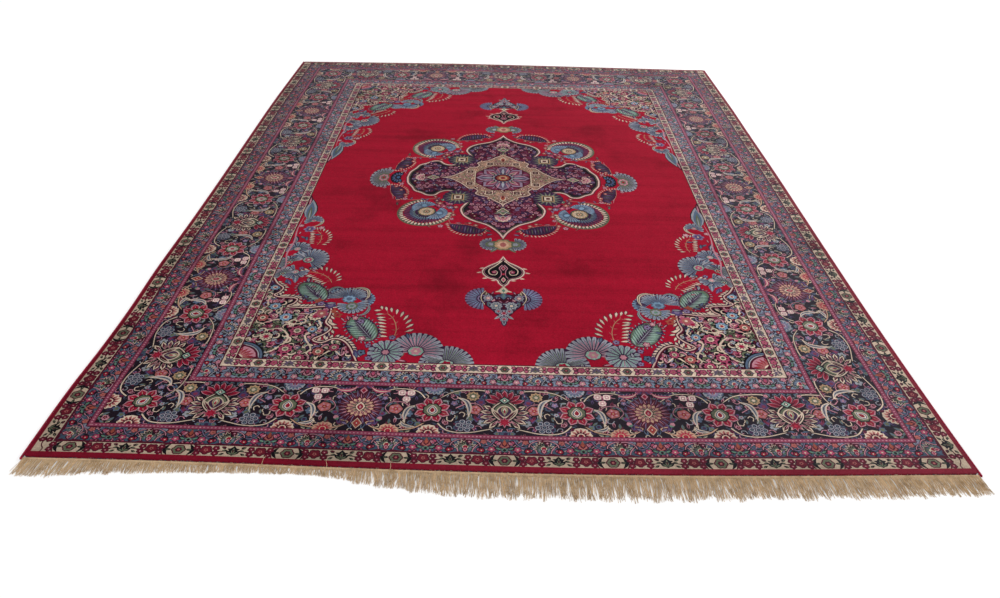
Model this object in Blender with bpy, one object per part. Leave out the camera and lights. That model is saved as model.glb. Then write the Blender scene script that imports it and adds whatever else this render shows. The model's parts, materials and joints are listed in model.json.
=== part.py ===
"""A room-size hand-knotted rug lying flat on the floor.

The cloth is one slab with an uneven outline. An overcast cord runs along each long side,
and a narrow flat-woven strip with its warp fringe closes each end.
Origin: middle of the underside. +Y runs towards the far end, +X across, +Z up. Metres.
"""
import bisect
import math
import random

import bmesh
import bpy

# ---- driving dimensions -------------------------------------------------------------
WIDTH = 3.00             # over both selvedges, at the nominal corners
LENGTH = 4.00            # of the pile, at the corners
THICKNESS = 0.009        # foundation and pile
PILE_ROUND = 0.0025      # how far the pile's top edge is rounded over
CORNER_RADIUS = 0.012    # the cloth's corners, seen from above
GAP = 0.0003             # between pieces that touch

SELVEDGE_RADIUS = 0.004
EDGE_STEP = 0.06         # spacing of the outline's points

STRIP_HEIGHT = 0.003     # flat-woven end strips and their fringe
FRONT_STRIP_WIDTH = 0.010
BACK_STRIP_WIDTH = 0.006
FRONT_LOCKS = 200
BACK_LOCKS = 90
ROOT_SHARE = 0.62        # of each lock's pitch that its root takes up
TIP_SHARE = 0.40         # the same at its tip
TIP_HEIGHT = 0.0018
LENGTH_JITTER = 0.10     # share of a lock's length
LEAN_JITTER = 0.12       # share of the pitch
KNEE = 0.5               # where a lock bends, as a share of its length
KNEE_LEAN = 0.35         # the share of its lean that it has there

TOUCH = 0.00001          # points closer than this are one
SHARP_ANGLE = 35         # degrees; softer edges are shaded smooth

# ---- the photo's unevenness ---------------------------------------------------------
# Rows of (place along the edge, how far the edge stands out past the nominal line).
LEFT_EDGE = (
    (-2.10, 0.010), (-1.70, 0.010), (-1.45, 0.000), (-1.20, -0.003), (-0.90, 0.003),
    (-0.45, 0.000), (0.00, 0.002), (0.50, 0.008), (1.10, 0.014), (1.55, 0.011), (2.10, 0.004),
)
RIGHT_EDGE = (
    (-2.10, 0.004), (-1.75, -0.006), (-1.20, -0.012), (-0.70, -0.009), (-0.30, -0.005),
    (0.20, 0.001), (0.80, 0.002), (1.20, 0.004), (1.60, 0.000), (2.10, -0.005),
)
FRONT_EDGE = (
    (-1.50, 0.000), (-1.25, 0.002), (-0.90, 0.008), (-0.55, 0.018), (-0.20, 0.026),
    (0.20, 0.030), (0.60, 0.026), (0.95, 0.018), (1.25, 0.008), (1.50, 0.000),
)
BACK_EDGE = (
    (-1.50, 0.004), (-1.10, 0.016), (-0.60, 0.028), (-0.15, 0.032), (0.35, 0.026),
    (0.80, 0.016), (1.20, 0.008), (1.50, 0.002),
)
# Rows of (place across the rug, lock length, sideways lean as a share of the length).
FRONT_FRINGE = (
    (-1.50, 0.060, -0.35), (-1.38, 0.058, -0.22), (-1.25, 0.042, -0.10), (-1.00, 0.036, 0.08),
    (-0.75, 0.028, 0.15), (-0.55, 0.034, 0.18), (-0.42, 0.060, 0.20), (-0.25, 0.084, 0.14),
    (0.00, 0.097, 0.04), (0.40, 0.100, 0.00), (0.80, 0.092, 0.06), (1.20, 0.086, 0.20),
    (1.50, 0.080, 0.42),
)
BACK_FRINGE = (
    (-1.50, 0.022, -0.20), (-1.30, 0.014, 0.00), (-0.80, 0.018, 0.10), (-0.25, 0.024, 0.00),
    (0.20, 0.012, -0.10), (0.80, 0.015, 0.10), (1.30, 0.016, 0.05), (1.50, 0.028, 0.30),
)

# ---- finishes: colour and roughness --------------------------------------------------
FINISHES = {
    "carpet": ((0.33, 0.02, 0.04), 0.9),
    "selvedge": ((0.26, 0.01, 0.03), 0.85),
    "fringe": ((0.55, 0.42, 0.26), 0.9),
}


def read_table(table, place, column=1):
    """Smooth reading of a table's column between its rows, with slopes from their neighbours."""
    places = [row[0] for row in table]
    values = [row[column] for row in table]
    place = min(max(place, places[0]), places[-1])
    low = min(max(bisect.bisect_right(places, place) - 1, 0), len(table) - 2)
    span = places[low + 1] - places[low]
    share = (place - places[low]) / span

    def slope(row):
        before = max(row - 1, 0)
        after = min(row + 1, len(table) - 1)
        return (values[after] - values[before]) / (places[after] - places[before])

    start = 1 - share * share * (3 - 2 * share)
    rise = share * (1 - share) ** 2 * span
    fall = share * share * (1 - share) * span
    return (start * values[low] + (1 - start) * values[low + 1]
            + rise * slope(low) - fall * slope(low + 1))


def side_x(side, y):
    """Where the cloth ends and its selvedge starts; side is -1 left, 1 right."""
    table = LEFT_EDGE if side < 0 else RIGHT_EDGE
    return side * (WIDTH / 2 - 2 * SELVEDGE_RADIUS + read_table(table, y))


def end_y(end, x):
    """Where the pile ends; end is -1 near, 1 far."""
    table = FRONT_EDGE if end < 0 else BACK_EDGE
    return end * (LENGTH / 2 + read_table(table, x))


def spaced(first, last, step):
    """Evenly spaced values from first to last, both included."""
    count = max(1, round(abs(last - first) / step))
    return [first + (last - first) * number / count for number in range(count + 1)]


def finish(name):
    """The material of one of the finishes above."""
    found = bpy.data.materials.get(name)
    if found:
        return found
    colour, roughness = FINISHES[name]
    material = bpy.data.materials.new(name)
    material.use_nodes = True
    shader = material.node_tree.nodes["Principled BSDF"]
    shader.inputs["Base Color"].default_value = (*colour, 1.0)
    shader.inputs["Roughness"].default_value = roughness
    shader.inputs["Metallic"].default_value = 0.0
    material.diffuse_color = (*colour, 1.0)
    return material


def place(name, data, collection, finish_name):
    """A named object with its finish, in the rug's collection."""
    made = bpy.data.objects.new(name, data)
    data.materials.append(finish(finish_name))
    collection.objects.link(made)
    return made


def cloth_outline():
    """The cloth's uneven edges with a short round at each corner, anticlockwise."""
    inset = CORNER_RADIUS
    corners = []
    for side, end in ((1, -1), (1, 1), (-1, 1), (-1, -1)):
        corner_y = end_y(end, side_x(side, end * LENGTH / 2))
        corners.append((side, end, side_x(side, corner_y), corner_y))
    points = []
    for number, (side, end, corner_x, corner_y) in enumerate(corners):
        last_side, last_end, last_x, last_y = corners[number - 1]
        if side != last_side:
            for x in spaced(last_x - last_side * inset, corner_x - side * inset, EDGE_STEP):
                points.append((x, end_y(end, x)))
        else:
            for y in spaced(last_y - last_end * inset, corner_y - end * inset, EDGE_STEP):
                points.append((side_x(side, y), y))
        middle = inset * (1 - math.sqrt(0.5))
        points.append((corner_x - side * middle, corner_y - end * middle))
    return points


def filled_outline(name, points, height, collection, finish_name):
    """A closed solid of a flat outline, from z = 0 up to the height."""
    curve = bpy.data.curves.new(name + "_outline", "CURVE")
    curve.dimensions = "2D"
    curve.fill_mode = "BOTH"
    curve.extrude = height / 2
    spline = curve.splines.new("POLY")
    spline.points.add(len(points) - 1)
    for point, (x, y) in zip(spline.points, points):
        point.co = (x, y, 0.0, 1.0)
    spline.use_cyclic_u = True
    drawn = bpy.data.objects.new(name + "_outline", curve)
    collection.objects.link(drawn)
    drawn.location.z = height / 2
    bpy.context.view_layer.update()
    seen = drawn.evaluated_get(bpy.context.evaluated_depsgraph_get())
    mesh = bpy.data.meshes.new_from_object(seen)
    matrix = drawn.matrix_world.copy()
    bpy.data.objects.remove(drawn)
    work = bmesh.new()
    work.from_mesh(mesh)
    bmesh.ops.remove_doubles(work, verts=work.verts, dist=TOUCH)
    bmesh.ops.recalc_face_normals(work, faces=work.faces)
    work.to_mesh(mesh)
    work.free()
    mesh.materials.clear()
    solid = place(name, mesh, collection, finish_name)
    solid.matrix_world = matrix
    return solid


def round_top_edge(solid, height, width):
    """Rounds the rim of the solid's upper face."""
    work = bmesh.new()
    work.from_mesh(solid.data)
    rim = []
    for edge in work.edges:
        at_top = all(vert.co.z > height / 2 - TOUCH for vert in edge.verts)
        meets_wall = any(abs(face.normal.z) < 0.5 for face in edge.link_faces)
        if at_top and meets_wall:
            rim.append(edge)
    bmesh.ops.bevel(work, geom=rim, offset=width, segments=2, profile=0.5, affect="EDGES")
    work.to_mesh(solid.data)
    work.free()
    solid.data.shade_smooth()
    solid.data.set_sharp_from_angle(angle=math.radians(SHARP_ANGLE))


def make_carpet(collection):
    """The cloth: foundation and pile as one flat slab."""
    carpet = filled_outline("carpet", cloth_outline(), THICKNESS, collection, "carpet")
    round_top_edge(carpet, THICKNESS, PILE_ROUND)


def make_selvedge(name, side, collection):
    """The overcast cord along one side, past the end strips at both ends."""
    first = end_y(-1, side * WIDTH / 2) - FRONT_STRIP_WIDTH
    last = end_y(1, side * WIDTH / 2) + BACK_STRIP_WIDTH
    curve = bpy.data.curves.new(name, "CURVE")
    curve.dimensions = "3D"
    curve.bevel_depth = SELVEDGE_RADIUS
    curve.bevel_resolution = 2
    curve.use_fill_caps = True
    stations = spaced(first, last, EDGE_STEP)
    spline = curve.splines.new("POLY")
    spline.points.add(len(stations) - 1)
    for point, y in zip(spline.points, stations):
        x = side_x(side, y) + side * (SELVEDGE_RADIUS + GAP)
        point.co = (x, y, SELVEDGE_RADIUS, 1.0)
    place(name, curve, collection, "selvedge")


def strip_stations(first, last, locks):
    """Where the strip's cross edges lie: the two edges of every lock's root, and both ends."""
    pitch = (last - first) / locks
    margin = pitch * (1 - ROOT_SHARE) / 2
    stations = [first]
    for lock in range(locks):
        stations.append(first + pitch * lock + margin)
        stations.append(first + pitch * (lock + 1) - margin)
    stations.append(last)
    return stations, pitch


def move_section(verts, centre, half_width, height):
    """Sets a lock's four-cornered section upright on the floor at its centre."""
    middle_x = sum(vert.co.x for vert in verts) / len(verts)
    middle_z = sum(vert.co.z for vert in verts) / len(verts)
    for vert in verts:
        side = 1 if vert.co.x > middle_x else -1
        up = 1 if vert.co.z > middle_z else 0
        vert.co = (centre[0] + side * half_width, centre[1], up * height)


def make_fringe(name, end, strip_width, locks, table, seed, collection):
    """An end strip with its locks drawn out of its outer wall, all level on the floor."""
    rand = random.Random(seed)
    first = side_x(-1, end * LENGTH / 2) + GAP
    last = side_x(1, end * LENGTH / 2) - GAP
    stations, pitch = strip_stations(first, last, locks)

    work = bmesh.new()
    bmesh.ops.create_grid(work, x_segments=len(stations) - 1, y_segments=1, size=1.0)
    columns = sorted({round(vert.co.x, 5) for vert in work.verts})
    column_of = {column: number for number, column in enumerate(columns)}
    for vert in work.verts:
        x = stations[column_of[round(vert.co.x, 5)]]
        outer = vert.co.y * end > 0
        reach = GAP + (strip_width if outer else 0.0)
        vert.co = (x, end_y(end, x) + end * reach, 0.0)
    raised = bmesh.ops.extrude_face_region(work, geom=work.faces[:], use_keep_orig=True)
    for item in raised["geom"]:
        if isinstance(item, bmesh.types.BMVert):
            item.co.z = STRIP_HEIGHT
    bmesh.ops.recalc_face_normals(work, faces=work.faces)

    outer_walls = [face for face in work.faces if face.normal.y * end > 0.5]
    outer_walls.sort(key=lambda face: face.calc_center_median().x)
    roots = outer_walls[1::2]
    drawn = bmesh.ops.extrude_discrete_faces(work, faces=roots)["faces"]
    drawn.sort(key=lambda face: face.calc_center_median().x)
    tips = []
    for face in drawn:
        root = face.calc_center_median()
        length = read_table(table, root.x, 1) * (1 + rand.uniform(-1, 1) * LENGTH_JITTER)
        lean = read_table(table, root.x, 2) * length + rand.uniform(-1, 1) * LEAN_JITTER * pitch
        knee = (root.x + lean * KNEE_LEAN, root.y + end * length * KNEE)
        tip = (root.x + lean, root.y + end * length)
        tips.append((face, tip))
        half_width = pitch * (ROOT_SHARE + TIP_SHARE) / 4
        move_section(face.verts, knee, half_width, (STRIP_HEIGHT + TIP_HEIGHT) / 2)
    ends = bmesh.ops.extrude_discrete_faces(work, faces=[face for face, _ in tips])["faces"]
    ends.sort(key=lambda face: face.calc_center_median().x)
    for face, (_, tip) in zip(ends, tips):
        move_section(face.verts, tip, pitch * TIP_SHARE / 2, TIP_HEIGHT)

    mesh = bpy.data.meshes.new(name)
    work.to_mesh(mesh)
    work.free()
    place(name, mesh, collection, "fringe")


def main():
    for old in list(bpy.data.objects):
        bpy.data.objects.remove(old)
    collection = bpy.data.collections.new("persian_rug")
    bpy.context.scene.collection.children.link(collection)
    make_carpet(collection)
    make_selvedge("selvedge_left", -1, collection)
    make_selvedge("selvedge_right", 1, collection)
    make_fringe("fringe_front", -1, FRONT_STRIP_WIDTH, FRONT_LOCKS, FRONT_FRINGE, 3, collection)
    make_fringe("fringe_back", 1, BACK_STRIP_WIDTH, BACK_LOCKS, BACK_FRINGE, 8, collection)


main()
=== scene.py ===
import json
import math
import random

import bmesh
import bpy
import numpy as np
from mathutils import Matrix, Vector
from mathutils.geometry import delaunay_2d_cdt, tessellate_polygon

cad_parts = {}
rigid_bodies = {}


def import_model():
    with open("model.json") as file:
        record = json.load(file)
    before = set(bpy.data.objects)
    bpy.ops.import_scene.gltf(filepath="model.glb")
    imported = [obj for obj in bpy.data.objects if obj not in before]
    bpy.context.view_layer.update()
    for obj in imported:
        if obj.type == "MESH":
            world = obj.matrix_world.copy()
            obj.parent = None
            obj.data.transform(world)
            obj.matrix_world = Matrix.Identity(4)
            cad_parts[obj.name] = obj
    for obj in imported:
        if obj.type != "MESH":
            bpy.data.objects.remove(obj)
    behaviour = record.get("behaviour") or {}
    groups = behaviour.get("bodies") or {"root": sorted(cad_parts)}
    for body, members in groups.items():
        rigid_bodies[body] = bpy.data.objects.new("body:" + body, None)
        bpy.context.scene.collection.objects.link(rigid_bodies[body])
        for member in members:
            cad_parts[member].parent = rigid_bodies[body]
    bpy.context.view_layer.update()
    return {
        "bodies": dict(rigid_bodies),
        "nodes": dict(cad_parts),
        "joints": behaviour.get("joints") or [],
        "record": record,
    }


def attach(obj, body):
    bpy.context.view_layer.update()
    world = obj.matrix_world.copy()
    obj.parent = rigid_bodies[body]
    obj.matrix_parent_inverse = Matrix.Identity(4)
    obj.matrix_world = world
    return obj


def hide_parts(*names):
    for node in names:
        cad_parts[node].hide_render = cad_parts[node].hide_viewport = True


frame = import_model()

# ---- sizes and edges, as in the part's source. Metres, +Y to the far end. --------------------
HALF_WIDTH = 1.50
HALF_LENGTH = 2.00
THICKNESS = 0.009
PILE_ROUND = 0.0025
CORNER_RADIUS = 0.012
GAP = 0.0003
SELVEDGE_RADIUS = 0.004
STRIP_HEIGHT = 0.003
FRONT_STRIP_WIDTH = 0.010
BACK_STRIP_WIDTH = 0.006
BASE_HEIGHT = 0.0058       # top of the foundation, under the pile

# Rows of (place along the edge, how far the edge stands out past the nominal line).
LEFT_EDGE = (
    (-2.10, 0.010), (-1.70, 0.010), (-1.45, 0.000), (-1.20, -0.003), (-0.90, 0.003),
    (-0.45, 0.000), (0.00, 0.002), (0.50, 0.008), (1.10, 0.014), (1.55, 0.011), (2.10, 0.004),
)
RIGHT_EDGE = (
    (-2.10, 0.004), (-1.75, -0.006), (-1.20, -0.012), (-0.70, -0.009), (-0.30, -0.005),
    (0.20, 0.001), (0.80, 0.002), (1.20, 0.004), (1.60, 0.000), (2.10, -0.005),
)
FRONT_EDGE = (
    (-1.50, 0.000), (-1.25, 0.002), (-0.90, 0.008), (-0.55, 0.018), (-0.20, 0.026),
    (0.20, 0.030), (0.60, 0.026), (0.95, 0.018), (1.25, 0.008), (1.50, 0.000),
)
BACK_EDGE = (
    (-1.50, 0.004), (-1.10, 0.016), (-0.60, 0.028), (-0.15, 0.032), (0.35, 0.026),
    (0.80, 0.016), (1.20, 0.008), (1.50, 0.002),
)
FRINGE_LOCK = 0.016        # yarns this close lean together
NEAR_YARNS = 2400
FAR_YARNS = 1500
# Rows of (place across the rug, fringe length, sideways lean as a share of the length).
FRONT_FRINGE = (
    (-1.50, 0.066, -0.10), (-1.38, 0.070, -0.10), (-1.27, 0.056, -0.05), (-1.00, 0.040, 0.05),
    (-0.75, 0.030, 0.10), (-0.55, 0.034, 0.12), (-0.42, 0.060, 0.14), (-0.25, 0.084, 0.08),
    (0.00, 0.092, 0.02), (0.40, 0.094, 0.00), (0.80, 0.088, 0.04), (1.20, 0.082, 0.10),
    (1.50, 0.074, 0.12),
)
BACK_FRINGE = (
    (-1.50, 0.022, -0.20), (-1.30, 0.014, 0.00), (-0.80, 0.018, 0.10), (-0.25, 0.024, 0.00),
    (0.20, 0.012, -0.10), (0.80, 0.015, 0.10), (1.30, 0.016, 0.05), (1.50, 0.028, 0.30),
)


def read_table(table, places, column=1):
    """Smooth readings of a table's column between its rows, with slopes from their neighbours."""
    rows = np.array(table)
    at, values = rows[:, 0], rows[:, column]
    places = np.clip(np.asarray(places, float), at[0], at[-1])
    low = np.clip(np.searchsorted(at, places, side="right") - 1, 0, len(at) - 2)
    span = at[low + 1] - at[low]
    share = (places - at[low]) / span
    before = np.maximum(np.arange(len(at)) - 1, 0)
    after = np.minimum(np.arange(len(at)) + 1, len(at) - 1)
    slope = (values[after] - values[before]) / (at[after] - at[before])
    start = 1 - share * share * (3 - 2 * share)
    rise = share * (1 - share) ** 2 * span
    fall = share * share * (1 - share) * span
    return start * values[low] + (1 - start) * values[low + 1] + rise * slope[low] - fall * slope[low + 1]


def side_x(side, y):
    """Where the cloth ends and its selvedge starts; side is -1 left, 1 right."""
    table = LEFT_EDGE if side < 0 else RIGHT_EDGE
    return side * (HALF_WIDTH - 2 * SELVEDGE_RADIUS + read_table(table, y))


def end_y(end, x):
    """Where the pile ends; end is -1 near, 1 far."""
    table = FRONT_EDGE if end < 0 else BACK_EDGE
    return end * (HALF_LENGTH + read_table(table, x))


# ---- camera, light and floor -----------------------------------------------------------------

CAMERA_PLACE = (-0.041, -3.679, 1.782)
CAMERA_PITCH = 34.33        # degrees below level
CAMERA_ROLL = 1.41
CAMERA_TURN = 0.476


def make_camera():
    """The photograph's viewpoint, from past the near end."""
    pitch, roll, turn = (math.radians(angle) for angle in (CAMERA_PITCH, CAMERA_ROLL, CAMERA_TURN))
    level = Vector((math.cos(turn), -math.sin(turn), 0))
    forward = Vector((math.sin(turn) * math.cos(pitch), math.cos(turn) * math.cos(pitch), -math.sin(pitch)))
    up = level.cross(forward)
    right = math.cos(roll) * level + math.sin(roll) * up
    top = math.cos(roll) * up - math.sin(roll) * level
    camera = bpy.data.objects.new("camera", bpy.data.cameras.new("camera"))
    camera.data.lens = 27.45
    camera.data.sensor_width = 36.0
    camera.data.clip_end = 60.0
    turned = Matrix((right, top, -forward)).transposed().to_4x4()
    camera.matrix_world = Matrix.Translation(CAMERA_PLACE) @ turned
    bpy.context.scene.collection.objects.link(camera)
    bpy.context.scene.camera = camera


def add_light(name, place, aim, size, power, colour=(1, 1, 1)):
    """A soft square lamp that faces a point."""
    lamp = bpy.data.lights.new(name, "AREA")
    lamp.shape = "SQUARE"
    lamp.size = size
    lamp.energy = power
    lamp.color = colour
    made = bpy.data.objects.new(name, lamp)
    made.location = place
    made.rotation_euler = (Vector(aim) - Vector(place)).to_track_quat("-Z", "Y").to_euler()
    bpy.context.scene.collection.objects.link(made)


# ---- materials -------------------------------------------------------------------------------

MULTIPLY = {"data_type": "RGBA", "blend_type": "MULTIPLY"}


def linear(colour):
    """A hex colour as linear red, green, blue."""
    shares = np.array([int(colour[place:place + 2], 16) / 255 for place in (1, 3, 5)])
    return np.where(shares <= 0.04045, shares / 12.92, ((shares + 0.055) / 1.055) ** 2.4)


def tint(colour):
    """The same with an alpha of 1, for a socket."""
    return (*linear(colour), 1.0)


def add(tree, kind, settings=None, **links):
    """A node with its settings and inputs; an input is a value or another node's output."""
    node = tree.nodes.new("ShaderNode" + kind)
    for name, value in (settings or {}).items():
        setattr(node, name, value)
    for name, value in links.items():
        number = int(name[1:]) if name[0] == "i" and name[1:].isdigit() else None
        socket = node.inputs[number] if number is not None else node.inputs[name.replace("_", " ")]
        if isinstance(value, bpy.types.NodeSocket):
            tree.links.new(value, socket)
        else:
            socket.default_value = value
    return node


def ramp(tree, share, stops):
    """A colour ramp over (place, colour) stops."""
    node = add(tree, "ValToRGB", Fac=share)
    while len(node.color_ramp.elements) < len(stops):
        node.color_ramp.elements.new(0.5)
    for element, (place, colour) in zip(node.color_ramp.elements, stops):
        element.position = place
        element.color = tint(colour) if isinstance(colour, str) else (colour, colour, colour, 1.0)
    return node.outputs["Color"]


def new_material(name, roughness, sheen=0.0, sheen_colour="#ffffff", sheen_roughness=0.5):
    material = bpy.data.materials.new(name)
    material.use_nodes = True
    tree = material.node_tree
    shader = tree.nodes["Principled BSDF"]
    shader.inputs["Roughness"].default_value = roughness
    shader.inputs["Specular IOR Level"].default_value = 0.035
    shader.inputs["Sheen Weight"].default_value = sheen
    shader.inputs["Sheen Tint"].default_value = tint(sheen_colour)
    shader.inputs["Sheen Roughness"].default_value = sheen_roughness
    return material, tree, shader


def wool_pile():
    """Clipped wool pile: knots of 2.5 mm, dye that varies from row to row, and wear."""
    material, tree, shader = new_material("wool pile", 0.92, 0.015, "#c9bcd6", 0.4)
    place = add(tree, "TexCoord").outputs["Object"]
    dyed = add(tree, "Attribute", {"attribute_name": "dye"}).outputs["Color"]
    # Rows of weft took slightly different dye lots: long streaks across the rug.
    stretched = add(tree, "Mapping", Vector=place, Scale=(0.35, 9.0, 1.0)).outputs["Vector"]
    streak = add(tree, "TexNoise", Vector=stretched, Scale=1.6, Detail=5.0, Roughness=0.65).outputs["Fac"]
    streak = ramp(tree, streak, ((0.30, 0.80), (0.52, 1.0), (0.72, 1.12)))
    # Broad worn and soiled patches.
    patch = add(tree, "TexNoise", Vector=place, Scale=2.2, Detail=4.0, Roughness=0.6).outputs["Fac"]
    patch = ramp(tree, patch, ((0.30, 0.62), (0.46, 0.98), (0.72, 1.08)))
    # Each tuft catches the light its own way.
    tuft = add(tree, "TexVoronoi", Vector=place, Scale=400.0).outputs
    grain = add(tree, "TexNoise", Vector=place, Scale=160.0, Detail=3.0, Roughness=0.7).outputs["Fac"]
    fleck = ramp(tree, grain, ((0.25, 0.72), (0.5, 1.0), (0.75, 1.30)))
    for layer in (streak, patch, fleck):
        dyed = add(tree, "Mix", MULTIPLY, i0=1.0, i6=dyed, i7=layer).outputs[2]
    tree.links.new(dyed, shader.inputs["Base Color"])
    depth = add(tree, "Math", {"operation": "SUBTRACT"}, i0=1.0, i1=tuft["Distance"]).outputs[0]
    depth = add(tree, "Math", {"operation": "MULTIPLY_ADD"}, i0=grain, i1=1.6, i2=depth).outputs[0]
    bump = add(tree, "Bump", Height=depth, Distance=0.0014, Strength=0.8)
    tree.links.new(bump.outputs["Normal"], shader.inputs["Normal"])
    return material


def cotton(name, pale, dark, scale, sheen=0.2):
    """Undyed cotton warp, greyed and yellowed unevenly."""
    material, tree, shader = new_material(name, 0.9, sheen, "#e8dcc4")
    place = add(tree, "TexCoord").outputs["Object"]
    soil = add(tree, "TexNoise", Vector=place, Scale=scale, Detail=5.0, Roughness=0.65).outputs["Fac"]
    shade = ramp(tree, soil, ((0.28, dark), (0.52, pale), (0.80, pale)))
    yarn = add(tree, "Attribute", {"attribute_name": "dye"}).outputs["Color"]
    mixed = add(tree, "Mix", MULTIPLY, i0=1.0, i6=shade, i7=yarn)
    tree.links.new(mixed.outputs[2], shader.inputs["Base Color"])
    fibre = add(tree, "TexNoise", Vector=place, Scale=900.0, Detail=2.0).outputs["Fac"]
    bump = add(tree, "Bump", Height=fibre, Distance=0.0006, Strength=0.6)
    tree.links.new(bump.outputs["Normal"], shader.inputs["Normal"])
    return material


def knotted_back():
    """The underside: rows of tight knots, reds in the middle and blues at the border."""
    material, tree, shader = new_material("knotted back", 0.9)
    place = add(tree, "TexCoord").outputs["Object"]
    knots = add(tree, "TexVoronoi", Vector=place, Scale=350.0).outputs
    pick = add(tree, "SeparateColor", Color=knots["Color"]).outputs[0]
    shade = ramp(tree, pick, ((0.0, "#6e1226"), (0.55, "#8f1a30"), (0.62, "#2a2338"), (0.85, "#4a5568"),
                              (1.0, "#b9a78c")))
    tree.links.new(shade, shader.inputs["Base Color"])
    bump = add(tree, "Bump", Height=knots["Distance"], Distance=0.001, Strength=0.5)
    tree.links.new(bump.outputs["Normal"], shader.inputs["Normal"])
    return material


# ---- drawing kit ------------------------------------------------------------------------------
# An outline is an array of complex numbers, x + iy. Art is a list of (wool, outline) in painter's
# order, drawn about the origin with its top towards +y. Figures are in millimetres, and the whole
# rug's drawing, which lays them in place, is in metres.
MM = 0.001


def oval(wide, high=None, points=12):
    turns = np.arange(points) * 2 * np.pi / points
    return wide * np.cos(turns) + 1j * (high or wide) * np.sin(turns)


def lobed(radius, lobes, depth=0.2, points=4):
    turns = np.arange(lobes * points) * 2 * np.pi / (lobes * points)
    reach = radius * (1 - depth * (1 - np.abs(np.sin(turns * lobes / 2))))
    return reach * np.exp(1j * (turns + np.pi / 2))


def spiky(radius, spikes, depth=0.4):
    reach = np.where(np.arange(spikes * 2) % 2, radius * (1 - depth), radius)
    return reach * np.exp(1j * (np.arange(spikes * 2) * np.pi / spikes + np.pi / 2))


def leaf(length, width, belly=0.5, points=5):
    share = np.linspace(0, 1, points + 1)
    half = width / 2 * np.sin(np.pi * share ** (math.log(0.5) / math.log(belly)))
    right = half + 1j * length * share
    return np.concatenate([right, (-right[1:-1].conj())[::-1]])


def diamond(wide, high):
    return np.array([wide, 1j * high, -wide, -1j * high])


def smooth(points, steps=4, closed=False):
    """A Catmull-Rom line through the points."""
    knots = np.array(points, complex)
    if closed:
        knots = np.concatenate([knots[-1:], knots, knots[:2]])
    else:
        knots = np.concatenate([[2 * knots[0] - knots[1]], knots, [2 * knots[-1] - knots[-2]]])
    line = []
    for a, b, c, d in zip(knots, knots[1:], knots[2:], knots[3:]):
        for t in np.arange(steps) / steps:
            line.append(0.5 * (2 * b + (c - a) * t + (2 * a - 5 * b + 4 * c - d) * t**2
                               + (3 * b - a - 3 * c + d) * t**3))
    if not closed:
        line.append(knots[-2])
    return np.array(line)


def band(line, width):
    """A line given a width, or a width for each of its points."""
    side = np.gradient(line)
    side = 1j * side / np.maximum(np.abs(side), 1e-9) * np.asarray(width) / 2
    return np.concatenate([line + side, (line - side)[::-1]])


def swelling(line, width, belly=0.5):
    """A band that starts and ends in a point."""
    share = np.linspace(0, 1, len(line))
    power = math.log(0.5) / math.log(belly)
    return band(line, width * np.sin(np.pi * share**power) + 1.2)


def nest(shape, *told):
    """One figure in wool after wool. Each wool's own measures follow it, and the last ones, where
    they are left out, are those of the wool before."""
    layers = []
    for item in told:
        if isinstance(item, str):
            layers.append((item, []))
        else:
            layers[-1][1].append(item)
    art, sizes = [], []
    for wool, own in layers:
        sizes = own + sizes[len(own):]
        art.append((wool, shape(*sizes)))
    return art


def leaves(*told):
    return nest(leaf, *told)


def put(art, at=0, turn=0, size=1, flip=False):
    """Art flipped left to right, sized, turned and moved, in that order."""
    factor = size * np.exp(1j * math.radians(turn))
    return [(wool, (-line.conj() if flip else line) * factor + at) for wool, line in art]


def both(art, *place):
    """Art put in its place, and its mirror image."""
    here = put(art, *place) if place else art
    return here + put(here, flip=True)


def wheel(count, art, start=0, span=360):
    """Copies of art turned evenly about the origin."""
    step = span / count if span == 360 else span / (count - 1)
    copies = []
    for number in range(count):
        copies += put(art, turn=start + step * number)
    return copies


def teeth(line, length, width, count, lean=0, wool="cream", first=0.0, last=1.0):
    """Small separate leaves that stand out along one side of a line."""
    art = []
    for share in np.linspace(first, last, count):
        place = share * (len(line) - 1)
        low = min(int(place), len(line) - 2)
        at = line[low] + (line[low + 1] - line[low]) * (place - low)
        turn = math.degrees(np.angle(line[low + 1] - line[low])) + lean
        fade = 0.72 + 0.28 * math.sin(math.pi * share)
        art += put([(wool, leaf(length * fade, width, 0.6, 3))], at, turn)
    return art


# ---- small flowers and leaves -------------------------------------------------------------------


def rosette(radius, petals, wools):
    """A round flower: edge, petals with a vein, ring, heart."""
    edge, petal, vein, ring, heart = wools
    one = leaves(petal, radius * 0.95, radius * 4.6 / petals, 0.68, 4, vein, radius * 0.78,
                 radius * 1.5 / petals, 0.7, 3)
    return ([(edge, lobed(radius * 1.06, petals, 0.16, 4))] + wheel(petals, one)
            + [(ring, oval(radius * 0.42)), (heart, lobed(radius * 0.28, 6, 0.2, 2))])


def floret(radius, wool, eye, edge="navy", petals=5):
    return [(edge, lobed(radius * 1.22, petals, 0.2, 2)), (wool, lobed(radius, petals, 0.34, 3)),
            (eye, oval(radius * 0.3, points=5))]


def bud(size, wool="salmon", cup="green", edge="navy"):
    """A rosebud on its cup, pointing up."""
    return [(edge, leaf(size * 2.1, size * 1.75, 0.5, 4) - 0.15j * size),
            (wool, leaf(size * 1.75, size * 1.45, 0.55, 4)),
            ("rose", leaf(size * 1.25, size * 0.62, 0.6, 3) + 0.35j * size),
            (cup, leaf(size * 1.0, size * 0.5, 0.4, 3) - 0.25j * size)] + both(
        [(cup, put([(0, leaf(size * 0.95, size * 0.4, 0.5, 3))], -0.1j * size, -48)[0][1])])


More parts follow.
